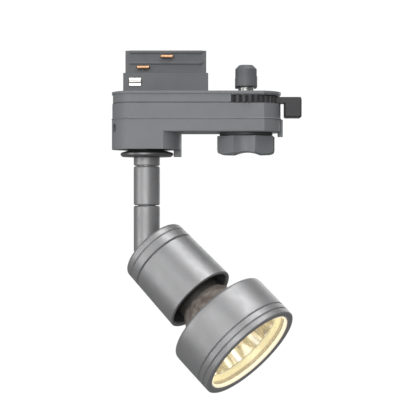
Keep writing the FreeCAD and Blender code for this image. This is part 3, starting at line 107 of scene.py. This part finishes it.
class Finish:
    """One material's node tree, with short calls for shared nodes. Sizes are in millimetres."""

    def __init__(self, name):
        self.material = bpy.data.materials.new(name)
        self.material.use_nodes = True
        self.tree = self.material.node_tree
        self.tree.nodes.clear()
        self.output = self.add("ShaderNodeOutputMaterial")
        self.place = self.add("ShaderNodeTexCoord").outputs["Object"]

    def add(self, kind, **settings):
        node = self.tree.nodes.new(kind)
        for name, value in settings.items():
            setattr(node, name, value)
        return node

    def join(self, source, socket):
        self.tree.links.new(source, socket)

    def put(self, socket, value):
        """Links value to the socket when it is another socket, and otherwise sets it as a plain value."""
        if isinstance(value, bpy.types.NodeSocket):
            self.join(value, socket)
        else:
            socket.default_value = value

    def maths(self, operation, first, second=0.0):
        node = self.add("ShaderNodeMath", operation=operation)
        self.put(node.inputs[0], first)
        self.put(node.inputs[1], second)
        return node.outputs[0]

    def spread(self, value, low, high, to_low=0.0, to_high=1.0):
        """value's range low to high laid onto to_low to to_high, and held at both ends."""
        node = self.add("ShaderNodeMapRange", clamp=True)
        settings = {"Value": value, "From Min": low, "From Max": high, "To Min": to_low, "To Max": to_high}
        for name, setting in settings.items():
            self.put(node.inputs[name], setting)
        return node.outputs[0]

    def noise(self, size, detail=2.0, stretch=(1, 1, 1), place=None, distortion=0.0):
        """Noise whose lumps are about size across, shrunk along each axis by stretch."""
        scaled = self.add("ShaderNodeMapping")
        scaled.inputs["Scale"].default_value = [factor / (size * MM) for factor in stretch]
        self.join(place or self.place, scaled.inputs["Vector"])
        node = self.add("ShaderNodeTexNoise")
        node.inputs["Scale"].default_value = 1.0
        node.inputs["Detail"].default_value = detail
        node.inputs["Distortion"].default_value = distortion
        self.join(scaled.outputs[0], node.inputs["Vector"])
        return node.outputs["Fac"]

    def flakes(self, size):
        """A random value for each metal flake of about that size."""
        node = self.add("ShaderNodeTexVoronoi")
        node.inputs["Scale"].default_value = 1.0 / (size * MM)
        self.join(self.place, node.inputs["Vector"])
        parts = self.add("ShaderNodeSeparateColor")
        self.join(node.outputs["Color"], parts.inputs[0])
        return parts.outputs[0]

    def blend(self, share, first, second):
        node = self.add("ShaderNodeMix", data_type="RGBA")
        self.put(node.inputs["Factor"], share)
        self.put(node.inputs[6], first)
        self.put(node.inputs[7], second)
        return node.outputs[2]

    def rounded(self, radius):
        """The shading normal with edges softened to that radius, and how much of an edge each point is."""
        soft = self.add("ShaderNodeBevel", samples=BEVEL_SAMPLES)
        soft.inputs["Radius"].default_value = radius * MM
        geometry = self.add("ShaderNodeNewGeometry")
        dot = self.add("ShaderNodeVectorMath", operation="DOT_PRODUCT")
        self.join(soft.outputs[0], dot.inputs[0])
        self.join(geometry.outputs["Normal"], dot.inputs[1])
        return soft.outputs[0], self.spread(dot.outputs["Value"], FLAT_MATCH, EDGE_MATCH)

    def bump(self, height, depth, normal=None):
        """A bump whose full height is depth."""
        node = self.add("ShaderNodeBump")
        node.inputs["Distance"].default_value = depth * MM
        self.join(height, node.inputs["Height"])
        if normal:
            self.join(normal, node.inputs["Normal"])
        return node.outputs[0]

    def principled(self, **values):
        node = self.add("ShaderNodeBsdfPrincipled")
        for name, value in values.items():
            self.put(node.inputs[name.replace("_", " ")], value)
        return node.outputs[0]

    def show(self, shader):
        self.join(shader, self.output.inputs["Surface"])
        return self.material


def tinted(colour, factor):
    return (*[min(part * factor, 1.0) for part in colour[:3]], 1.0)


def solid_finish(
    name,
    colour,
    metallic=0.0,
    roughness=0.5,
    grain=0.3,
    grain_depth=0.01,
    mottle=0.06,
    edge=0.2,
    wear_and_highlight=1.25,
    flake=0.0,
    turned=0.0,
    coat=0.0,
):
    """A finish with mottled colour, fine grain, edges lightened partly as wear and partly as a painted
    highlight, and uneven gloss.

    grain, grain_depth and edge are sizes in millimetres, and turned is the spacing of a lathe's fine rings
    about the beam. mottle and flake are the shares by which the colour varies, and wear_and_highlight is the
    factor that an edge's colour is multiplied by, which lightens it partly as wear and partly as a painted
    highlight.
    """
    finish = Finish(name)
    broad = finish.noise(14.0, 3.0)
    fine = finish.noise(grain, 3.0)
    cloud = finish.spread(broad, 0.3, 0.7)
    base = finish.blend(cloud, tinted(colour, 1 - mottle), tinted(colour, 1 + mottle))
    if flake:
        sparkle = finish.spread(finish.flakes(FLAKE_SIZE), 0.0, 1.0, 1 - flake, 1 + flake)
        bright = finish.add("ShaderNodeVectorMath", operation="SCALE")
        finish.join(base, bright.inputs[0])
        finish.join(sparkle, bright.inputs["Scale"])
        base = bright.outputs[0]
    normal, on_edge = finish.rounded(edge)
    # edges lightened: partly rubbed wear, partly a painted highlight where an edge catches the light
    edge_wear_and_highlight = finish.maths("MULTIPLY", on_edge, finish.spread(finish.noise(2.5, 4.0), 0.35, 0.65))
    base = finish.blend(edge_wear_and_highlight, base, tinted(colour, wear_and_highlight))
    smudges = finish.noise(6.0, 4.0, distortion=0.8)
    gloss = finish.spread(smudges, 0.25, 0.75, roughness - 0.05, roughness + 0.06)
    gloss = finish.maths("SUBTRACT", gloss, finish.maths("MULTIPLY", edge_wear_and_highlight, 0.08))
    height = fine
    if turned:
        local = finish.add("ShaderNodeMapping")
        local.inputs["Location"].default_value = TO_LAMP.translation
        local.inputs["Rotation"].default_value = TO_LAMP.to_euler()
        finish.join(finish.place, local.inputs["Vector"])
        rings = finish.noise(turned, 2.0, stretch=(0.02, 0.02, 1.0), place=local.outputs[0])
        pits = finish.maths("MULTIPLY", fine, 0.5)
        height = finish.maths("ADD", pits, finish.maths("MULTIPLY", rings, 0.7))
    return finish.show(
        finish.principled(
            Base_Color=base,
            Metallic=metallic,
            Roughness=gloss,
            Coat_Weight=coat,
            Normal=finish.bump(height, grain_depth, normal),
        )
    )


def clear_finish(name, tint):
    """Clear thin glass: what is behind it shows through, and it mirrors more towards its edges."""
    finish = Finish(name)
    through = finish.add("ShaderNodeBsdfTransparent")
    through.inputs["Color"].default_value = (*tint, 1.0)
    mirror = finish.principled(
        Base_Color=(0.9, 0.9, 0.88, 1.0),
        Roughness=finish.spread(finish.noise(7.0, 4.0, distortion=1.0), 0.3, 0.8, 0.02, 0.07),
        Metallic=1.0,
        Normal=finish.bump(finish.noise(9.0), 0.02),
    )
    rim = finish.add("ShaderNodeLayerWeight")
    rim.inputs["Blend"].default_value = 0.5
    share = finish.maths("MULTIPLY", finish.maths("POWER", rim.outputs["Facing"], 4.0), 0.22)
    mix = finish.add("ShaderNodeMixShader")
    finish.join(share, mix.inputs[0])
    finish.join(through.outputs[0], mix.inputs[1])
    finish.join(mirror, mix.inputs[2])
    return finish.show(mix.outputs[0])


def glowing_finish(name, cool, hot, strength, size):
    """A hot surface that glows, brighter in some places than in others."""
    finish = Finish(name)
    share = finish.spread(finish.noise(size, 2.0), 0.3, 0.7)
    colour = finish.blend(share, (*cool, 1.0), (*hot, 1.0))
    return finish.show(
        finish.principled(
            Base_Color=colour,
            Roughness=finish.spread(share, 0.0, 1.0, 0.2, 0.35),
            Emission_Color=colour,
            Emission_Strength=strength,
            Normal=finish.bump(share, 0.02),
        )
    )


def lit_glass(name, dim_colour, lit_colour, strength, metallic=0.0, roughness=0.15):
    """A warm surface inside the lamp, whose uneven light from the lamp is painted on as a glow.

    Each facet's share of the painted light is a face attribute, and off_centre runs from 0 on a facet's
    middle line, where a white streak is painted as the reflection of the hot capsule, to 1 at its sides.
    """
    finish = Finish(name)
    light_share = finish.add("ShaderNodeAttribute", attribute_name="facet_light_share").outputs["Fac"]
    off_centre = finish.add("ShaderNodeAttribute", attribute_name="off_centre").outputs["Fac"]
    cloud = finish.noise(2.6, 3.0, distortion=0.6)
    level = finish.maths("ADD", finish.maths("MULTIPLY", light_share, 0.75), finish.maths("MULTIPLY", cloud, 0.45))
    lit = finish.blend(finish.spread(level, 0.3, 0.9), (*dim_colour, 1.0), (*lit_colour, 1.0))
    # painted highlight: a white streak down each facet's middle line stands in for the capsule's reflection
    capsule_reflection = finish.maths("MULTIPLY", finish.spread(off_centre, 0.6, 0.2), finish.spread(light_share, 0.45, 0.7))
    lit = finish.blend(capsule_reflection, lit, (2.6, 2.55, 2.4, 1.0))
    return finish.show(
        finish.principled(
            Base_Color=(0.60, 0.56, 0.46, 1.0),
            Metallic=metallic,
            Roughness=finish.spread(cloud, 0.2, 0.8, roughness * 0.7, roughness * 1.5),
            Emission_Color=lit,
            Emission_Strength=strength,
            Normal=finish.bump(cloud, 0.015),
        )
    )


def bowl_finish():
    """The bowl's back: brownish coated glass with mottled thickness, with a faint painted glow for the lamp's
    light from inside.
    """
    finish = Finish("bowl_back")
    blotches = finish.noise(3.4, 3.0, distortion=0.5)
    thickness = finish.spread(blotches, 0.35, 0.68)
    colour = finish.blend(thickness, (0.115, 0.094, 0.084, 1.0), (0.215, 0.192, 0.172, 1.0))
    return finish.show(
        finish.principled(
            Base_Color=colour,
            Roughness=finish.spread(blotches, 0.3, 0.7, 0.14, 0.3),
            Coat_Weight=0.4,
            Emission_Color=colour,
            Emission_Strength=0.3,
            Normal=finish.bump(blotches, 0.03),
        )
    )


QUARTZ_GLOW = 0.35


def quartz_finish():
    """Clear quartz round the hot filament: mostly see-through, with a glow whose warmth varies."""
    finish = Finish("quartz")
    through = finish.add("ShaderNodeBsdfTransparent")
    through.inputs["Color"].default_value = (1.0, 0.98, 0.94, 1.0)
    waves = finish.noise(5.0, 2.0)
    warmth = finish.spread(waves, 0.3, 0.7)
    glow = finish.principled(
        Base_Color=(0.9, 0.88, 0.84, 1.0),
        Roughness=finish.spread(waves, 0.3, 0.7, 0.05, 0.12),
        Emission_Color=finish.blend(warmth, (1.0, 0.94, 0.82, 1.0), (1.0, 0.98, 0.93, 1.0)),
        Emission_Strength=4.0,
        Normal=finish.bump(waves, 0.03),
    )
    mix = finish.add("ShaderNodeMixShader")
    mix.inputs[0].default_value = QUARTZ_GLOW
    finish.join(through.outputs[0], mix.inputs[1])
    finish.join(glow, mix.inputs[2])
    return finish.show(mix.outputs[0])


CASING = (0.232, 0.238, 0.250)
LEVER = (0.064, 0.062, 0.066)
SILVER = (0.40, 0.40, 0.405)
# a darker copy of the silver: painted shade for the rosette under the boss
ROSETTE_IN_SHADE = (0.21, 0.21, 0.215)
STEEL = (0.55, 0.55, 0.53)

SOLID_FINISHES = {
    "casing_plastic": dict(colour=CASING, roughness=0.42, mottle=0.04, wear_and_highlight=1.2),
    "lever_plastic": dict(colour=LEVER, roughness=0.5, grain=0.2, grain_depth=0.02, wear_and_highlight=1.8),
    "insert_plastic": dict(colour=(0.15, 0.155, 0.165), roughness=0.48),
    "shaft_steel": dict(colour=STEEL, metallic=1.0, roughness=0.3, grain=0.15, turned=0.2),
    "screw_steel": dict(colour=(0.6, 0.6, 0.57), metallic=1.0, roughness=0.28, grain=0.2),
    "contact_copper": dict(colour=(0.8, 0.46, 0.26), metallic=1.0, roughness=0.25, mottle=0.15),
    "earth_spring": dict(colour=(0.66, 0.65, 0.62), metallic=1.0, roughness=0.2),
    "block_plastic": dict(colour=(0.68, 0.66, 0.58), roughness=0.5),
    "lead_brown": dict(colour=(0.17, 0.065, 0.03), roughness=0.4),
    "lead_blue": dict(colour=(0.02, 0.09, 0.42), roughness=0.4),
    "lead_green": dict(colour=(0.13, 0.38, 0.05), roughness=0.4),
    "lead_white": dict(colour=(0.7, 0.69, 0.64), roughness=0.55, grain=0.4, grain_depth=0.05),
    # near black: partly the washer's own dark plastic, partly painted shade for the narrow gap between boss
    # and rosette
    "washer_plastic": dict(colour=(0.025, 0.025, 0.027), roughness=0.45),
    "silver_metal": dict(
        colour=SILVER,
        metallic=0.72,
        roughness=0.46,
        grain=0.18,
        grain_depth=0.004,
        mottle=0.03,
        flake=0.06,
        turned=0.25,
    ),
    "rosette_shaded_metal": dict(colour=ROSETTE_IN_SHADE, metallic=0.8, roughness=0.34, grain=0.2, mottle=0.08),
    # near black: partly the lamp base's own dark ceramic, partly painted shade for the deep gap it sits in
    "base_ceramic": dict(colour=(0.075, 0.07, 0.066), roughness=0.5, mottle=0.15),
    "ceramic": dict(colour=(0.78, 0.75, 0.68), roughness=0.28, coat=0.3, mottle=0.05, wear_and_highlight=1.0),
    "bracket_steel": dict(colour=(0.5, 0.5, 0.48), metallic=1.0, roughness=0.36, mottle=0.12),
    "pin_metal": dict(colour=(0.66, 0.63, 0.58), metallic=1.0, roughness=0.22),
    "clip_steel": dict(colour=(0.55, 0.55, 0.54), metallic=1.0, roughness=0.3),
}


def make_finishes():
    """Every finish by name: one for each CAD material slot, and a darker copy of the silver, as painted
    shade, for the rosette alone.
    """
    finishes = {name: solid_finish(name, **settings) for name, settings in SOLID_FINISHES.items()}
    finishes["reflector_glass"] = bowl_finish()
    finishes["quartz"] = quartz_finish()
    finishes["filament_glow"] = glowing_finish(
        "filament_glow", cool=(1.0, 0.86, 0.66), hot=(1.0, 0.94, 0.84), strength=14.0, size=1.0
    )
    finishes["front_glass"] = clear_finish("front_glass", (1.0, 0.985, 0.95))
    return finishes


def dress_cad(finishes):
    """Gives every CAD node the procedural material of its slot, and the rosette a darker copy of the silver,
    which paints the shade under the boss.
    """
    for node in NODES.values():
        for place in node.material_slots:
            place.material = finishes[place.material.name.split(".")[0]]
    NODES["rosette"].material_slots[0].material = finishes["rosette_shaded_metal"]


# ---------------------------------------------------------------------------------------------
# The lamp's faceted reflector
# ---------------------------------------------------------------------------------------------

FACET_SECTORS = 22
FACET_ROWS = 2
FACET_STEPS = 6
FACET_CROWN = 0.45 * MM
FACET_SEED = 7
# share of the painted light for the faces off the facets
PLAIN_LIGHT_SHARE = 0.7
BAND_SHARES = (0.1, 0.4, 0.7, 1.0)
GLASS_WALL = 1.5 * MM
SEAT_DROP = 1.9 * MM
BAND_DROP = 5.4 * MM
BOWL_NECK_SHARE = 0.225
BOWL_CURVE = 1.25
BOWL_REACH = 1.02
NECK_RADIUS = 6.4 * MM
OUTER_RINGS = 24
RIM_STEPS = 6
MIRROR, BAND, SEAT, BACK = range(4)


def bowl_radius(depth, mouth, reach):
    """The bowl's outer radius at a depth below its mouth, where reach is the depth at which it would end."""
    rise = 1 - (depth / reach) ** BOWL_CURVE
    return mouth * math.sqrt(BOWL_NECK_SHARE + (1 - BOWL_NECK_SHARE) * max(rise, 0.0))


def place_piece(name, mesh, body):
    """Puts a mesh that is drawn in the lamp's frame where the lamp is, on the given body."""
    mesh.transform(LAMP)
    mesh.validate()
    piece = bpy.data.objects.new(name, mesh)
    bpy.context.collection.objects.link(piece)
    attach(piece, body)
    return piece


def faceted_reflector(finishes):
    """The pressed-glass bowl: crowned mirror facets inside, a smooth band, a rounded rim and a plain back."""
    low, high, mouth = along_beam("lamp_reflector")
    reach = (high - low) * BOWL_REACH
    facet_top = high - BAND_DROP
    facet_low = low + 2 * GLASS_WALL
    count = FACET_SECTORS * FACET_STEPS
    rings = []
    finish_of = []

    def ring(height, radius_at, finish):
        """One loop of points; finish is for the faces between it and the loop after it."""
        points = [(radius_at(j), math.tau * j / count) for j in range(count)]
        rings.append([(r * math.cos(a), r * math.sin(a), height) for r, a in points])
        finish_of.append(finish)

    def inner_radius(height):
        return max(bowl_radius(high - height, mouth, reach) - GLASS_WALL, NECK_RADIUS)

    ring(low + GLASS_WALL, lambda j: NECK_RADIUS, MIRROR)
    for i in range(FACET_ROWS * FACET_STEPS + 1):
        height = facet_low + (facet_top - facet_low) * i / (FACET_ROWS * FACET_STEPS)
        rise = (i % FACET_STEPS) / FACET_STEPS
        swell = 0.5 + 2 * rise * (1 - rise)

        def facet_radius(j, inner=inner_radius(height), swell=swell):
            share = (j % FACET_STEPS) / FACET_STEPS
            off = (share - 0.5) * math.tau / FACET_SECTORS
            chord = math.cos(math.pi / FACET_SECTORS) / math.cos(off)
            return inner * chord - FACET_CROWN * 4 * share * (1 - share) * swell

        ring(height, facet_radius, MIRROR)
    for share in BAND_SHARES:
        height = facet_top + (high - SEAT_DROP - facet_top) * share
        ring(height, lambda j, r=inner_radius(height): r, BAND)
    finish_of[-1] = SEAT
    rim_middle = mouth - GLASS_WALL / 2
    for i in range(RIM_STEPS + 1):
        turn = math.pi * i / RIM_STEPS
        height = high - GLASS_WALL / 2 * (1 - math.sin(turn))
        ring(height, lambda j, r=rim_middle - GLASS_WALL / 2 * math.cos(turn): r, SEAT)
    for i in range(1, OUTER_RINGS):
        height = high - GLASS_WALL / 2 - (high - low - GLASS_WALL / 2) * i / (OUTER_RINGS - 1)
        ring(height, lambda j, r=bowl_radius(high - height, mouth, reach): r, BACK)
    ring(low, lambda j: NECK_RADIUS, BACK)

    last_facet_ring = FACET_ROWS * FACET_STEPS + 1
    draw = random.Random(FACET_SEED)
    # each facet's share of the painted light, drawn at random
    facet_light_shares = [[draw.random() for _ in range(FACET_SECTORS)] for _ in range(FACET_ROWS)]
    faces, light_shares, slots = [], [], []
    for i, finish in enumerate(finish_of):
        following = (i + 1) % len(rings)
        row = (i - 1) // FACET_STEPS
        for j in range(count):
            beside = (j + 1) % count
            this, onward = i * count, following * count
            faces.append((this + j, this + beside, onward + beside, onward + j))
            light_shares.append(facet_light_shares[row][j // FACET_STEPS] if 0 <= row < FACET_ROWS else PLAIN_LIGHT_SHARE)
            slots.append(finish)

    mesh = bpy.data.meshes.new("faceted_reflector")
    mesh.from_pydata([point for loop in rings for point in loop], [], faces)
    mesh.polygons.foreach_set("material_index", slots)
    mesh.polygons.foreach_set("use_smooth", [True] * len(faces))
    mesh.attributes.new("facet_light_share", "FLOAT", "FACE").data.foreach_set("value", light_shares)
    off_centre = [
        abs(2 * (j % FACET_STEPS) / FACET_STEPS - 1) if 0 < i <= last_facet_ring else 1.0
        for i in range(len(rings))
        for j in range(count)
    ]
    mesh.attributes.new("off_centre", "FLOAT", "POINT").data.foreach_set("value", off_centre)
    for border in mesh.edges:
        (ring_a, step_a), (ring_b, step_b) = (divmod(vertex, count) for vertex in border.vertices)
        on_facets = 1 <= min(ring_a, ring_b) and max(ring_a, ring_b) <= last_facet_ring
        between_sectors = step_a == step_b and step_a % FACET_STEPS == 0
        between_rows = ring_a == ring_b and (ring_a - 1) % FACET_STEPS == 0
        border.use_edge_sharp = on_facets and (between_sectors or between_rows)
    # The facets, band and seat glow: the lamp's light on them and the capsule's reflection in them are
    # painted.
    mesh.materials.append(
        lit_glass(
            "facet_mirror",
            dim_colour=(0.15, 0.115, 0.09),
            lit_colour=(0.60, 0.56, 0.36),
            strength=0.62,
            metallic=0.8,
            roughness=0.12,
        )
    )
    mesh.materials.append(
        lit_glass(
            "band_mirror",
            dim_colour=(0.60, 0.55, 0.30),
            lit_colour=(0.72, 0.66, 0.40),
            strength=0.8,
            metallic=0.5,
            roughness=0.3,
        )
    )
    mesh.materials.append(lit_glass("seat_glass", (0.10, 0.08, 0.04), (0.22, 0.18, 0.10), strength=0.4))
    mesh.materials.append(finishes["reflector_glass"])
    piece = place_piece("faceted_reflector", mesh, "lamp")
    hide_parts("lamp_reflector")


def lathe(name, profile, segments, closed):
    """A mesh turned about Z from (radius, height) points, whose last ring meets the first if it is closed."""
    points = [
        (r * math.cos(math.tau * j / segments), r * math.sin(math.tau * j / segments), z)
        for r, z in profile
        for j in range(segments)
    ]
    faces = []
    for i in range(len(profile) if closed else len(profile) - 1):
        this, onward = i * segments, (i + 1) % len(profile) * segments
        for j in range(segments):
            beside = (j + 1) % segments
            faces.append((this + j, onward + j, onward + beside, this + beside))
    mesh = bpy.data.meshes.new(name)
    mesh.from_pydata(points, [], faces)
    mesh.polygons.foreach_set("use_smooth", [True] * len(faces))
    return mesh


LENS_EDGE_WIDTH = 0.9 * MM
LENS_EDGE_SIDES = 8
LENS_EDGE_INSET = 0.8 * MM
LENS_EDGE_BELOW_LIP = 0.5 * MM
LENS_SEGMENTS = 96


def lens_edge():
    """The rounded edge of the front glass just inside the ring's lip, with a painted glow for the lamp's
    bright light on it.
    """
    _, glass_top, _ = along_beam("lamp_front_glass")
    _, ring_top, _ = along_beam("front_ring")
    _, _, mouth = along_beam("lamp_reflector")
    outer = mouth - LENS_EDGE_INSET
    edge_top = ring_top - LENS_EDGE_BELOW_LIP
    middle = (glass_top + edge_top) / 2
    half = (edge_top - glass_top) / 2
    profile = []
    for i in range(LENS_EDGE_SIDES + 1):
        turn = math.pi * i / LENS_EDGE_SIDES
        profile.append((outer - LENS_EDGE_WIDTH * math.sin(turn), middle - half * math.cos(turn)))
    mesh = lathe("lens_edge", profile, LENS_SEGMENTS, closed=True)
    mesh.materials.append(lit_glass("edge_light", (0.86, 0.76, 0.55), (0.9, 0.82, 0.64), 0.9))
    place_piece("lens_edge", mesh, "lamp")


COIL_TURNS = 9
COIL_STEPS = 14
COIL_WIRE = 0.11 * MM
COIL_SIDES = 8


def filament_coil():
    """The filament as a wound coil, as tall and as wide as the CAD's plain one."""
    low, high, widest = along_beam("filament")
    middle = widest - COIL_WIRE
    count = COIL_TURNS * COIL_STEPS + 1
    points = []
    for i in range(count):
        angle = math.tau * i / COIL_STEPS
        outward = Vector((math.cos(angle), math.sin(angle), 0.0))
        height = low + COIL_WIRE + (high - low - 2 * COIL_WIRE) * i / (count - 1)
        for j in range(COIL_SIDES):
            around = math.tau * j / COIL_SIDES
            reach = middle + COIL_WIRE * math.cos(around)
            points.append(outward * reach + Vector((0.0, 0.0, height + COIL_WIRE * math.sin(around))))
    faces = []
    for i in range(count - 1):
        for j in range(COIL_SIDES):
            beside = (j + 1) % COIL_SIDES
            this, following = i * COIL_SIDES, (i + 1) * COIL_SIDES
            faces.append((this + j, following + j, following + beside, this + beside))
    faces.append(tuple(range(COIL_SIDES)))
    faces.append(tuple(reversed(range((count - 1) * COIL_SIDES, count * COIL_SIDES))))
    mesh = bpy.data.meshes.new("filament_coil")
    mesh.from_pydata(points, [], faces)
    mesh.polygons.foreach_set("use_smooth", [True] * len(faces))
    mesh.materials.append(NODES["filament"].material_slots[0].material)
    piece = place_piece("filament_coil", mesh, "lamp")
    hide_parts("filament")


# ---------------------------------------------------------------------------------------------
# Studio
# ---------------------------------------------------------------------------------------------

ROOM_RADIUS = 3.0
ROOM_FLOOR = -1.6
ROOM_TOP = 2.2
ROOM_BEND = 0.8
ROOM_BEND_STEPS = 8
ROOM_SEGMENTS = 64
ROOM_GLOW = 1.02
WORLD_COLOUR = (0.98, 0.99, 1.0, 1.0)
WORLD_STRENGTH = 0.25
# each softbox's place and size in metres, and its power in watts
SOFTBOXES = {
    "top_softbox": ((0.28, -0.25, 1.0), (0.7, 0.7), 6.0),
    "left_softbox": ((-1.05, -0.42, 0.0), (0.4, 1.1), 3.0),
    "front_softbox": ((-0.35, -1.5, 0.3), (1.3, 1.1), 11.0),
    "back_softbox": ((0.5, 1.3, 0.2), (0.9, 0.9), 4.0),
}


def make_room():
    """A plain pale floor that sweeps up into a round wall and ceiling, which only the camera sees."""
    profile = [(0.0, ROOM_FLOOR)]
    inward = ROOM_RADIUS - ROOM_BEND
    for i in range(ROOM_BEND_STEPS + 1):
        turn = math.pi / 2 * i / ROOM_BEND_STEPS
        profile.append((inward + ROOM_BEND * math.sin(turn), ROOM_FLOOR + ROOM_BEND * (1 - math.cos(turn))))
    profile += [(r, ROOM_TOP - (z - ROOM_FLOOR)) for r, z in reversed(profile)]
    mesh = lathe("studio_room", profile, ROOM_SEGMENTS, closed=False)
    room = bpy.data.objects.new("studio_room", mesh)
    bpy.context.collection.objects.link(room)
    finish = Finish("studio_white")
    white = finish.add("ShaderNodeEmission")
    white.inputs["Color"].default_value = (1.0, 1.0, 1.0, 1.0)
    white.inputs["Strength"].default_value = ROOM_GLOW
    mesh.materials.append(finish.show(white.outputs[0]))
    for ray in ("diffuse", "glossy", "shadow", "volume_scatter"):
        setattr(room, f"visible_{ray}", False)


def softbox(name, place, size, power, target):
    """A soft white lamp that faces the target."""
    light = bpy.data.lights.new(name, "AREA")
    light.shape = "RECTANGLE"
    light.size, light.size_y = size
    light.energy = power
    lamp = bpy.data.objects.new(name, light)
    lamp.location = place
    lamp.rotation_mode = "QUATERNION"
    lamp.rotation_quaternion = (target - Vector(place)).to_track_quat("-Z", "Y")
    bpy.context.collection.objects.link(lamp)


def make_studio():
    centre = (cad_box[0] + cad_box[1]) / 2
    world = bpy.data.worlds.new("studio")
    world.use_nodes = True
    background = world.node_tree.nodes["Background"]
    background.inputs["Color"].default_value = WORLD_COLOUR
    background.inputs["Strength"].default_value = WORLD_STRENGTH
    bpy.context.scene.world = world
    for name, (place, size, power) in SOFTBOXES.items():
        softbox(name, place, size, power, centre)
    bpy.context.scene.view_settings.view_transform = "Standard"
    make_room()


def make_camera():
    camera = bpy.data.cameras.new("camera")
    camera.lens = CAMERA_LENS_MM
    camera.sensor_width = SENSOR_MM
    camera.clip_start = CAMERA_NEAR
    camera.clip_end = CAMERA_FAR
    stand = bpy.data.objects.new("camera", camera)
    stand.location = CAMERA_PLACE
    stand.rotation_euler = (math.pi / 2, 0.0, 0.0)
    bpy.context.collection.objects.link(stand)
    bpy.context.scene.camera = stand


finishes = make_finishes()
dress_cad(finishes)
faceted_reflector(finishes)
lens_edge()
filament_coil()
make_studio()
make_camera()
